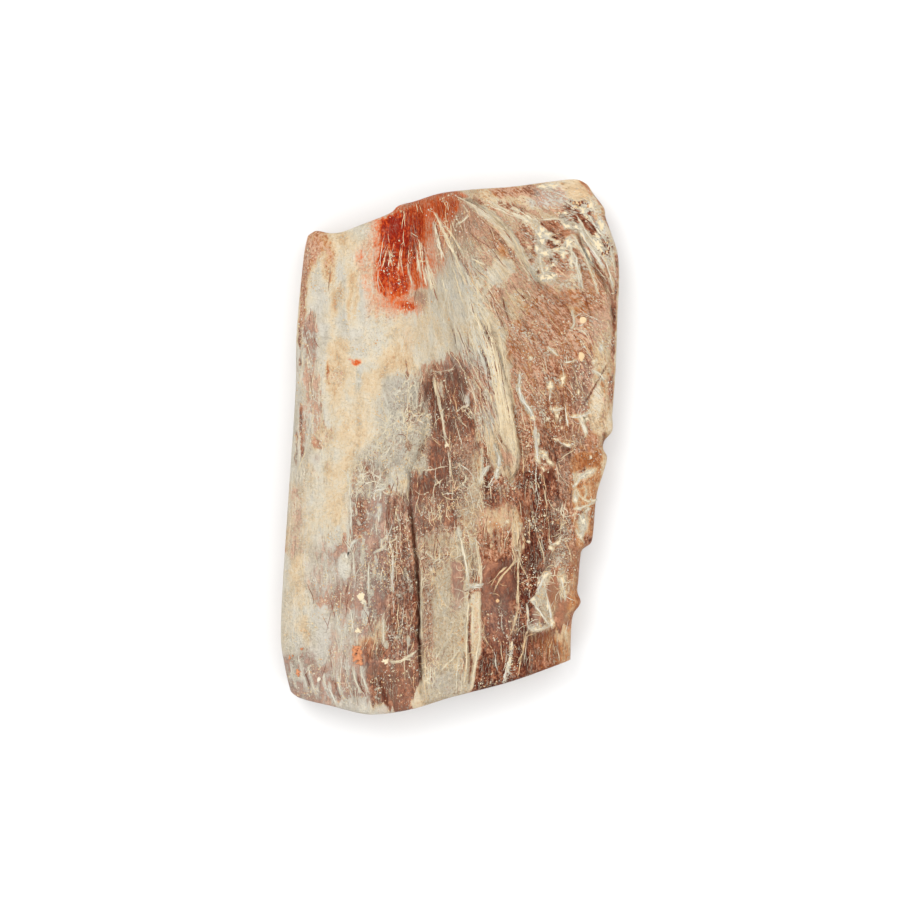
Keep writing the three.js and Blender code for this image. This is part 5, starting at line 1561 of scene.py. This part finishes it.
def cord_fibres(line, half, tone, draw):
    """A strand's own fibres, which weave beside one another, start and end anywhere and part
    towards its ends."""
    count = 1 + round(FIBRES_PER_HALF * half)
    steps = np.hypot(*np.diff(line, axis=0).T)
    length = steps.sum()
    places = int(max(8, length / CORD_STEP))
    gone = np.append(0, np.cumsum(steps)) / length
    start = draw.uniform(0, 0.6, (count, 1))
    start[0] = 0.02
    end = np.minimum(start + draw.uniform(0.3, 1, (count, 1)), 0.98)
    share = lerp(start, end, np.linspace(0, 1, places))
    path = np.stack([np.interp(share, gone, line[:, k]) for k in (0, 1)], axis=-1)
    run = direction(path)
    weave = np.sin(2 * math.pi * (share * length / WEAVE_LENGTH + draw.random((count, 1))))
    aside = half * (0.75 * draw.uniform(-1, 1, (count, 1)) + 0.3 * weave)
    aside = aside * (0.8 + 0.7 * (2 * share - 1) ** 2)
    path = path + np.stack([-run[..., 1] * aside, run[..., 0] * aside], axis=-1)
    shake = np.stack([lumps_on(path, 1.6, seed) for seed in (12, 13)], axis=-1)
    path = path + 0.5 * (shake - 0.5)
    lumpy = 0.4 + 1.2 * lumps_on(path, 1.3, 7)
    thick = (0.12 + 0.12 * min(half, 1.5)) * draw.uniform(0.6, 1.4, (count, 1))
    halves = thick * narrowing(places) * lumpy
    points, faces = tubes(pulled_in(path), halves, np.minimum(0.7 * halves, CORD_RISE))
    return points, faces, np.full(len(points), tone) + draw.normal(0, 0.05)


def cord_strays(line, half, tone, draw):
    """Short hairs that leave a strand to its sides."""
    length = np.hypot(*np.diff(line, axis=0).T).sum()
    count = max(1, round(STRAYS_PER_LENGTH * length * half))
    at = draw.integers(0, len(line) - 1, count)
    way = np.arctan2(*(line[at + 1] - line[at])[:, ::-1].T)
    way = way + draw.choice([0, math.pi], count) + draw.normal(0, 0.6, count)
    bend = draw.normal(0, 0.5, count)
    t = np.linspace(0, 1, STRAY_STATIONS)
    turned = way[:, None] + bend[:, None] * t
    reach = draw.uniform(1.5, 6, count)[:, None] * t
    path = line[at][:, None] + np.stack([reach * np.cos(turned), reach * np.sin(turned)], axis=-1)
    halves = draw.uniform(*STRAY_HALVES, (count, 1)) * narrowing(STRAY_STATIONS)
    points, faces = tubes(pulled_in(path), halves, halves)
    return points, faces, np.full(len(points), tone + 0.05)


def build_cords():
    """Every cord's fibres, and stray hairs beside the pale ones. The dark cords laid in creases are
    painted shade.
    """
    draw = np.random.default_rng(21)
    parts = [cord_fibres(*cord, draw) for cord in cords]
    return gather(parts + [cord_strays(*cord, draw) for cord in cords if cord[2] < DARK_TONE])


def within(x, y):
    """Whether places lie in the outline, at least a margin from its sides."""
    inside = (x > read_stations(LEFT_SIDE, y) + HAIR_MARGIN)
    inside &= x < read_stations(RIGHT_SIDE, y) - HAIR_MARGIN
    inside &= y > read_stations(BOTTOM_END, x) + HAIR_MARGIN
    return inside & (y < read_stations(TOP_END, x) - HAIR_MARGIN)


def on_top(draw, count, chance, clump, seed):
    """Random places on the top, likelier where a field is high and noise gathers them."""
    x, y = draw.uniform(*DRAW_BOX, (12 * count, 2)).T
    gathered = smoothstep(0.4, 0.72, cloud(x / clump, y / clump, seed))
    kept = within(x, y) & (draw.random(len(x)) < sample(chance, x, y) * gathered)
    return x[kept][:count], y[kept][:count]


def loose_hairs(draw, count, chance, longest, stray, bend, dark):
    """Hairs of membrane that set out along the meat's fibres, or astray from them. A share of
    them is dark where the meat is bare."""
    x, y = on_top(draw, count, chance, clump=9, seed=90)
    bare = 1 - sample(tissue["fat"], x, y)
    length = draw.uniform(SHORTEST_HAIR, longest, len(x))
    step = length / HAIR_STATIONS * draw.choice([-1, 1], len(x))
    set_out = draw.normal(0, stray, len(x))
    curl = draw.normal(0, bend, len(x))
    veiled = np.clip(2 * sample(tissue["veil"], x, y), 0, 1)
    tone = lerp(draw.uniform(*HAIR_TONES, len(x)), draw.uniform(*VEILED_TONES, len(x)), veiled)
    tone = np.where(draw.random(len(x)) < dark * bare, DARK_TONE, tone)
    path = []
    for k in range(HAIR_STATIONS):
        path.append(np.stack([x, y], axis=-1))
        turn = set_out + curl * k + 0.6 * (lumps(x / 3, y / 3, 8) - 0.5)
        along_x = sample(ALONG_X, x, y)
        along_y = sample(ALONG_Y, x, y)
        x = x + step * (along_x * np.cos(turn) - along_y * np.sin(turn))
        y = y + step * (along_y * np.cos(turn) + along_x * np.sin(turn))
    path = np.stack(path, axis=1)
    inside = within(path[..., 0], path[..., 1]).all(axis=1)
    path = path[inside]
    halves = draw.uniform(*HAIR_HALVES, (len(path), 1)) * narrowing(HAIR_STATIONS)
    points, faces = tubes(path, halves, halves)
    return points, faces, np.repeat(tone[inside], len(points) // len(path))


def build_hairs():
    """Long hairs that follow the meat's fibres."""
    draw = np.random.default_rng(31)
    chance = 0.7 * tissue["hairs"] ** 2
    return gather([loose_hairs(draw, HAIRS, chance, longest=18, stray=0.16, bend=0.03, dark=0.6)])


def build_curls():
    """Short curled hairs of torn membrane."""
    draw = np.random.default_rng(32)
    chance = np.clip(tissue["curls"], 0, 1) * (0.5 + tissue["veil"])
    return gather([loose_hairs(draw, CURLS, chance, longest=9, stray=1.2, bend=0.25, dark=0.03)])


def dome(at, half, tilt, rise, ragged):
    """A lumpy dome that sits in the top: its points, from the middle out, and its faces."""
    down = np.linspace(0, 1, DOME_RINGS + 1)[1:, None]
    turn = np.arange(DOME_SIDES) * 2 * math.pi / DOME_SIDES
    lumpy = 0.8 + 0.4 * lumps(at[0] + 1.5 * np.cos(turn), at[1] + 1.5 * np.sin(turn), 9)
    for lobes, depth in DOME_LOBES:
        lumpy += ragged * depth * np.sin(lobes * turn + lobes * at[0] + at[1])
    lumpy = np.maximum(lumpy, 0.25)
    share = np.sin(0.5 * math.pi * down) * lumpy
    c, s = math.cos(math.radians(tilt)), math.sin(math.radians(tilt))
    across = half[0] * share * np.cos(turn)
    along = half[1] * share * np.sin(turn)
    x = np.append(at[0] + across * c - along * s, at[0])
    y = np.append(at[1] + across * s + along * c, at[1])
    bulge = np.append((np.cos(0.5 * math.pi * down) * np.ones(DOME_SIDES)).ravel(), 1)
    height = rise * bulge * (0.7 + 0.6 * lumps(x / 1.1, y / 1.1, 10)) - DOME_SUNK
    points = np.stack([x, y, surface(x, y) + height], axis=1)
    number = np.arange(DOME_RINGS * DOME_SIDES).reshape(DOME_RINGS, DOME_SIDES)
    near, far = number[:-1], number[1:]
    walls = np.stack([near, far, np.roll(far, -1, 1), np.roll(near, -1, 1)], -1).reshape(-1, 4)
    top = np.full(DOME_SIDES, len(points) - 1)
    cap = np.stack([top, number[0], np.roll(number[0], -1)], axis=1)
    return points, [walls, cap, number[-1:, ::-1]]


def build_drops():
    """Drops of fat, lumps of frost and crumbs of meat that lie on the top."""
    parts = []
    for at, half, tilt, rise, tone, ragged in drops:
        points, faces = dome(at, half, tilt, rise, ragged)
        parts.append((points, faces, np.full(len(points), tone)))
    return gather(parts)


GRAIN_CORNERS = np.array([(1, 0, 0), (0, 1, 0), (-1, 0, 0), (0, -1, 0), (0, 0, 1), (0, 0, -1)])
GRAIN_FACES = np.array([(0, 1, 4), (1, 2, 4), (2, 3, 4), (3, 0, 4),
                        (1, 0, 5), (2, 1, 5), (3, 2, 5), (0, 3, 5)])


def build_grains():
    """Grains of frost, flat and a little longer one way."""
    draw = np.random.default_rng(41)
    bare = np.clip(1 - tissue["fat"], 0, 1) * (1 - tissue["veil"])
    chance = 0.03 + 0.1 * bare * (1 - tissue["blood"]) + tissue["frost"]
    x, y = on_top(draw, GRAINS, chance, clump=7, seed=95)
    torn = np.clip(sample(tissue["torn"], x, y), 0, 1)
    size = (GRAIN_LEAST + GRAIN_MORE * draw.random(len(x)) ** 3) * (1 + torn)
    dark = draw.random(len(x)) < 0.6 * torn
    tone = np.where(dark, DARK_TONE, draw.uniform(0, 0.65, len(x)))
    yaw = draw.uniform(0, 2 * math.pi, len(x))
    long = draw.uniform(1, 1.8, len(x))
    shape = np.stack([long, np.ones(len(x)), np.full(len(x), GRAIN_FLATNESS)], axis=-1)
    corner = GRAIN_CORNERS[None] * size[:, None, None] * shape[:, None]
    c, s = np.cos(yaw)[:, None], np.sin(yaw)[:, None]
    points = np.stack([
        x[:, None] + corner[..., 0] * c - corner[..., 1] * s,
        y[:, None] + corner[..., 0] * s + corner[..., 1] * c,
        surface(x, y)[:, None] + corner[..., 2],
    ], axis=-1).reshape(-1, 3)
    faces = (GRAIN_FACES[None] + 6 * np.arange(len(x))[:, None, None]).reshape(-1, 3)
    return points, faces.tolist(), np.repeat(tone, 6)


# ---- The finish --------------------------------------------------------------------------------

# The tones below are as the studio's light shows them; the surface itself is darker.
SHADE = 0.65
SPECULAR = 0.1
BUMP_DEPTH = 0.0021  # metres


def linear(red, green, blue):
    """A colour given in 0 to 255, as the shader takes it."""
    parts = [c / 255 for c in (red, green, blue)]
    lit = [c / 12.92 if c <= 0.04045 else ((c + 0.055) / 1.055) ** 2.4 for c in parts]
    return [SHADE * c for c in lit] + [1]


class Tree:
    """Builds a node material in short calls."""

    def __init__(self, name):
        self.material = bpy.data.materials.new(name)
        self.material.use_nodes = True
        self.nodes = self.material.node_tree.nodes
        self.shader = self.nodes["Principled BSDF"]

    def link(self, source, target):
        self.material.node_tree.links.new(source, target)

    def feed(self, socket, value):
        if isinstance(value, bpy.types.NodeSocket):
            self.link(value, socket)
        else:
            socket.default_value = value

    def math(self, operation, *values, clamp=False):
        node = self.nodes.new("ShaderNodeMath")
        node.operation = operation
        node.use_clamp = clamp
        for socket, value in zip(node.inputs, values):
            self.feed(socket, value)
        return node.outputs[0]

    def attribute(self, name):
        node = self.nodes.new("ShaderNodeAttribute")
        node.attribute_name = name
        return node.outputs["Fac"]

    def place(self, across, along, skew, shift):
        """The spot in the meat, in fibre coordinates. One factor scales it across the fibres and
        upwards, the other along them. A skew turns its grain from the fibres, and a shift takes
        it to another part of a noise."""
        node = self.nodes.new("ShaderNodeCombineXYZ")
        axes = self.nodes.new("ShaderNodeSeparateXYZ")
        where = self.nodes.new("ShaderNodeTexCoord")
        self.link(where.outputs["Object"], axes.inputs[0])
        aside = self.math("MULTIPLY", self.attribute("along"), skew)
        aside = self.math("ADD", self.attribute("across"), aside)
        self.link(self.math("MULTIPLY_ADD", aside, across, shift), node.inputs[0])
        self.link(self.math("MULTIPLY", self.attribute("along"), along), node.inputs[1])
        self.link(self.math("MULTIPLY", axes.outputs[2], across / MM), node.inputs[2])
        return node.outputs[0]

    def noise(self, across, along, skew=0, shift=0, detail=2, roughness=0.5, distortion=0):
        """Noise whose lumps are one over these factors wide and long."""
        node = self.nodes.new("ShaderNodeTexNoise")
        self.link(self.place(across, along, skew, shift), node.inputs["Vector"])
        node.inputs["Scale"].default_value = 1
        node.inputs["Detail"].default_value = detail
        node.inputs["Roughness"].default_value = roughness
        node.inputs["Distortion"].default_value = distortion
        return node.outputs["Fac"]

    def plain_noise(self, scale):
        """Noise that doesn't follow the fibres."""
        node = self.nodes.new("ShaderNodeTexNoise")
        node.inputs["Scale"].default_value = scale
        return node.outputs["Fac"]

    def times(self, value, factor, clamp=False):
        return self.math("MULTIPLY", value, factor, clamp=clamp)

    def about(self, value, spread):
        """A noise's departure from its middle, times a spread."""
        return self.times(self.math("SUBTRACT", value, 0.5), spread)

    def between(self, value, low, high):
        """0 below low, 1 above high, and smooth between; low may be the larger."""
        node = self.nodes.new("ShaderNodeMapRange")
        node.interpolation_type = "SMOOTHSTEP"
        self.feed(node.inputs["Value"], value)
        node.inputs["From Min"].default_value = min(low, high)
        node.inputs["From Max"].default_value = max(low, high)
        node.inputs["To Min"].default_value = 0 if low < high else 1
        node.inputs["To Max"].default_value = 1 if low < high else 0
        return node.outputs["Result"]

    def ramp(self, value, stops):
        node = self.nodes.new("ShaderNodeValToRGB")
        elements = node.color_ramp.elements
        while len(elements) < len(stops):
            elements.new(0.5)
        for element, (at, colour) in zip(elements, stops):
            element.position = at
            element.color = linear(*colour)
        self.feed(node.inputs[0], value)
        return node.outputs[0]

    def mix(self, share, under, over):
        node = self.nodes.new("ShaderNodeMix")
        node.data_type = "RGBA"
        self.feed(node.inputs["Factor"], share)
        self.feed(node.inputs["A"], under)
        self.feed(node.inputs["B"], over)
        return node.outputs["Result"]

    def sum(self, *values):
        total = values[0]
        for value in values[1:]:
            total = self.math("ADD", total, value)
        return total

    def lines(self, noise, at, half):
        """1 on the level line of a noise, 0 beyond half a width from it."""
        off = self.math("ABSOLUTE", self.math("SUBTRACT", noise, at))
        return self.between(off, half, 0.25 * half)

    def bump(self, height):
        node = self.nodes.new("ShaderNodeBump")
        node.inputs["Strength"].default_value = 1
        node.inputs["Distance"].default_value = BUMP_DEPTH
        self.link(height, node.inputs["Height"])
        self.link(node.outputs[0], self.shader.inputs["Normal"])

    def dress(self, colour, roughness):
        """Gives the shader its colour and roughness, and returns the material."""
        self.link(colour, self.shader.inputs["Base Color"])
        self.link(roughness, self.shader.inputs["Roughness"])
        self.shader.inputs["Specular IOR Level"].default_value = SPECULAR
        return self.material


FAT_TONES = [
    (0.0, (225, 218, 202)), (0.2, (233, 220, 195)), (0.4, (236, 212, 176)),
    (0.6, (226, 192, 150)), (0.8, (212, 150, 100)), (1.0, (172, 100, 52)),
]
LEAN_TONES = [
    (0.0, (228, 182, 150)), (0.25, (208, 148, 112)), (0.5, (172, 108, 76)),
    (0.75, (128, 66, 44)), (1.0, (84, 34, 20)),
]
BLOOD_TONES = [
    (0.0, (234, 206, 182)), (0.3, (238, 158, 118)), (0.55, (230, 98, 28)), (0.8, (204, 58, 0)),
    (1.0, (158, 30, 0)),
]

# painted shade in small pits
PIT_SHADE = (122, 72, 46)
# painted shade in the hollows of torn membrane
HOLLOW_SHADE = (160, 112, 74)
MILK = (210, 199, 188)
RIME = (236, 225, 202)
CURLED_HAIR = (238, 226, 200)
PALE_FIBRE = (238, 222, 192)
# painted shade in the cracks between pale fibres
CRACK_SHADE = (124, 68, 42)
# painted shade in gaps and creases
CREASE_SHADE = (92, 42, 24)


class Meat(Tree):
    """The slab's finish. The values that its points carry say what lies where, and noises that
    follow the fibres break them up."""

    def __init__(self, name):
        super().__init__(name)
        self.colour = None
        self.hairs = self.attribute("hairs")
        self.curls = self.attribute("curls")
        self.mottle = self.attribute("mottle")
        self.fibre = self.noise(0.8, 0.07, detail=4, roughness=0.7)
        self.grain = self.noise(0.8, 0.62, shift=17, roughness=0.65)
        self.dust = self.noise(1.1, 1, shift=31, roughness=0.7)
        self.patch = self.noise(0.17, 0.1, shift=5, detail=7, roughness=0.7, distortion=0.3)
        self.haze = self.noise(0.11, 0.08, shift=41, detail=7, roughness=0.72, distortion=0.3)
        self.rings = self.noise(0.85, 0.7, shift=61, roughness=0.6, distortion=1)
        self.streak = self.times(self.about(self.fibre, 1), self.hairs)
        self.speck = self.times(self.about(self.grain, 1), self.mottle)

    def paint(self, share, tone):
        """Lays a tone over the colour so far."""
        self.colour = self.mix(share, self.colour, linear(*tone))

    def add_flesh(self):
        """Lean meat, fat where enough of it covers the lean, and painted shade in small pits."""
        lean = self.sum(self.attribute("lean_tone"), self.times(self.streak, 2.6),
                        self.times(self.speck, 3.2), self.about(self.patch, 2.6))
        fat = self.sum(self.attribute("fat_tone"), self.about(self.haze, 1.2),
                       self.times(self.streak, 1.1), self.times(self.speck, 1.2))
        cover = self.sum(self.attribute("fat"), self.times(self.streak, 2.4),
                         self.times(self.speck, 2.0), self.about(self.patch, 2.2))
        crisp = self.math("MULTIPLY_ADD", self.mottle, 5, 0.6)
        cover = self.math("SUBTRACT", cover, 0.5)
        share = self.math("MULTIPLY_ADD", cover, crisp, 0.5, clamp=True)
        self.colour = self.mix(share, self.ramp(lean, LEAN_TONES), self.ramp(fat, FAT_TONES))
        pit = self.times(self.between(self.dust, 0.42, 0.32), self.mottle, clamp=True)
        self.paint(self.times(pit, 0.6), PIT_SHADE)

    def add_films(self):
        """Painted shade in the hollows of torn membrane, the milky film, and frost."""
        self.hollow = self.times(self.between(self.rings, 0.47, 0.36), self.curls)
        self.paint(self.times(self.hollow, 0.42), HOLLOW_SHADE)
        thickness = self.math("ADD", 0.8, self.about(self.haze, 1.6), clamp=True)
        self.paint(self.times(self.attribute("veil"), thickness), MILK)
        frost = self.sum(self.attribute("frost"), self.about(self.dust, 2.6),
                         self.about(self.haze, 2.8))
        self.rime = self.between(frost, 0.46, 0.64)
        self.paint(self.times(self.rime, 0.85), RIME)

    def add_blood(self):
        """Blood, from a thin tint to a dark clot."""
        uneven = self.sum(1, self.about(self.grain, 2.0), self.about(self.fibre, 1.6))
        wet = self.times(self.attribute("blood"), uneven)
        share = self.times(self.between(wet, 0, 0.48), 0.97)
        self.colour = self.mix(share, self.colour, self.ramp(wet, BLOOD_TONES))

    def add_threads(self):
        """Curled hairs, pale fibres, and painted shade in the cracks between them and in creases.
        """
        loops = self.noise(0.5, 0.42, shift=51, detail=3, roughness=0.6, distortion=1.3)
        curl = self.math("MAXIMUM", self.lines(loops, 0.5, 0.03),
                         self.lines(self.rings, 0.52, 0.035))
        self.curl = self.times(curl, self.curls, clamp=True)
        self.paint(self.times(self.curl, 0.7), CURLED_HAIR)

        web = self.noise(0.42, 0.045, shift=3, detail=3, roughness=0.6, distortion=0.4)
        net = self.noise(0.34, 0.06, skew=0.14, shift=13, detail=3, distortion=0.6)
        pale = self.math("MAXIMUM", self.lines(web, 0.5, 0.024), self.lines(net, 0.5, 0.018))
        pale = self.times(pale, self.between(self.patch, 0.4, 0.6))
        self.pale = self.times(pale, self.hairs, clamp=True)
        self.paint(self.times(self.pale, 0.85), PALE_FIBRE)

        split = self.noise(0.5, 0.06, shift=23, detail=3, roughness=0.6, distortion=0.5)
        crack = self.times(self.lines(split, 0.52, 0.018), self.between(self.patch, 0.6, 0.4))
        self.crack = self.times(crack, self.hairs, clamp=True)
        self.paint(self.times(self.crack, 0.6), CRACK_SHADE)
        self.paint(self.times(self.attribute("crease_shade"), 0.9), CREASE_SHADE)

    def add_relief(self):
        """Low relief from the same noises, as shares of the bump's depth."""
        shares = [(self.streak, 0.9), (self.grain, 0.9), (self.patch, 1.4), (self.rime, 0.3),
                  (self.pale, 0.35), (self.crack, -0.4), (self.curl, 0.08), (self.hollow, -0.08)]
        self.bump(self.sum(*(self.times(part, share) for part, share in shares)))


def frozen_meat():
    meat = Meat("frozen_meat")
    meat.add_flesh()
    meat.add_films()
    meat.add_blood()
    meat.add_threads()
    meat.add_relief()
    shine = meat.sum(0.5, meat.about(meat.grain, 0.3), meat.times(meat.rime, 0.15))
    return meat.dress(meat.colour, shine)


MEMBRANE_TONES = [
    (0.0, (220, 216, 204)), (0.12, (230, 222, 200)), (0.3, (233, 216, 181)),
    (0.55, (228, 196, 150)), (0.7, (216, 150, 98)), (0.8, (214, 138, 108)),
    (0.92, (150, 86, 60)), (1.0, (104, 52, 34)),
]


def membrane(name, coarse):
    """Pale tissue or ice, whose tone comes with each strand or grain."""
    t = Tree(name)
    cloudy = t.plain_noise(coarse / MM)
    tone = t.sum(t.attribute("tone"), t.about(cloudy, 0.6))
    return t.dress(t.ramp(tone, MEMBRANE_TONES), t.sum(0.4, t.about(cloudy, 0.3)))


# ---- Floor, light and camera ------------------------------------------------------------------

FLOOR_HALF = 4.0  # metres
FLOOR_CLOUDS = 0.6
FLOOR_TONES = [(0, (254, 254, 254)), (1, (255, 255, 255))]
FLOOR_ROUGHNESS = 0.9


def add_floor():
    """A white floor, much wider than the camera sees."""
    mesh = bpy.data.meshes.new("floor")
    signs = [(-1, -1), (1, -1), (1, 1), (-1, 1)]
    mesh.from_pydata([(FLOOR_HALF * a, FLOOR_HALF * b, 0) for a, b in signs], [], [(0, 1, 2, 3)])
    t = Tree("floor_paint")
    t.link(t.ramp(t.plain_noise(FLOOR_CLOUDS), FLOOR_TONES), t.shader.inputs["Base Color"])
    t.shader.inputs["Roughness"].default_value = FLOOR_ROUGHNESS
    mesh.materials.append(t.material)
    floor = bpy.data.objects.new("floor", mesh)
    bpy.context.scene.collection.objects.link(floor)


WORLD_LIGHT = 1.66
AIM_HEIGHT = 0.02
# Lamps: place and diameter in metres, watts and colour.
LAMPS = {
    "key": ((-0.6, 0.75, 1.4), 0.9, 10, (1, 0.985, 0.96)),
    "fill": ((1.2, -0.6, 1.2), 1.2, 4, (0.97, 0.985, 1)),
}


def add_light(name, at, size, watts, colour):
    """A round lamp that is turned to the slab's middle."""
    lamp = bpy.data.lights.new(name, "AREA")
    lamp.shape = "DISK"
    lamp.size = size
    lamp.energy = watts
    lamp.color = colour
    thing = bpy.data.objects.new(name, lamp)
    thing.location = at
    away = np.array(at) - np.array([0, 0, AIM_HEIGHT])
    yaw = math.atan2(away[1], away[0])
    thing.rotation_euler = (0, math.acos(away[2] / np.linalg.norm(away)), yaw)
    bpy.context.scene.collection.objects.link(thing)


def add_lights():
    """An even white world, a large warm lamp and a weaker cool one."""
    world = bpy.data.worlds.new("studio")
    world.use_nodes = True
    background = world.node_tree.nodes["Background"]
    background.inputs["Color"].default_value = (1, 1, 1, 1)
    background.inputs["Strength"].default_value = WORLD_LIGHT
    bpy.context.scene.world = world
    for name, lamp in LAMPS.items():
        add_light(name, *lamp)


LENS = 135
SENSOR = 36
PHOTO_SPAN = 450  # millimetres that the photograph's frame takes in
PHOTO_MIDDLE = (0, -1.5)  # what lies in the middle of the frame
WIDEST_AT = 12  # height of the slab's widest outline


def add_camera():
    """The photograph's camera, straight above."""
    camera = bpy.data.cameras.new("camera")
    camera.lens = LENS
    camera.sensor_width = SENSOR
    thing = bpy.data.objects.new("camera", camera)
    height = WIDEST_AT + PHOTO_SPAN * LENS / SENSOR
    thing.location = (
        (PHOTO_MIDDLE[0] - MIDDLE[0]) * MM, (PHOTO_MIDDLE[1] - MIDDLE[1]) * MM, height * MM,
    )
    bpy.context.scene.collection.objects.link(thing)
    bpy.context.scene.camera = thing


bpy.context.scene.view_settings.view_transform = "Standard"
add_floor()
add_lights()
add_camera()

slab_points, slab_faces, slab_depths = build_slab_mesh()
slab_x, slab_y, _ = slab_points.T
slab_values = {name: sample(field, slab_x, slab_y) for name, field in tissue.items()
               if name not in ("lift", "torn")}
tissue_of_sides(slab_points, slab_depths, slab_values)
slab_values["across"] = across_fibres(slab_x, slab_y)
slab_values["along"] = slab_y
slab = mesh_object("meat_slab", slab_points, slab_faces, frozen_meat(), slab_values)
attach(slab, "root")
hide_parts("lamb_ribs")

for name, build, coarse in (
    ("membrane_and_shade_cords", build_cords, 0.3),
    ("membrane_hairs", build_hairs, 0.3),
    ("membrane_curls", build_curls, 0.3),
    ("drops_and_crumbs", build_drops, 0.4),
    ("frost_grains", build_grains, 0.5),
):
    points, faces, tones = build()
    points[:, 2] = np.minimum(points[:, 2], HIGHEST)
    piece = mesh_object(name, points, faces, membrane(name, coarse), {"tone": tones})
    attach(piece, "root")
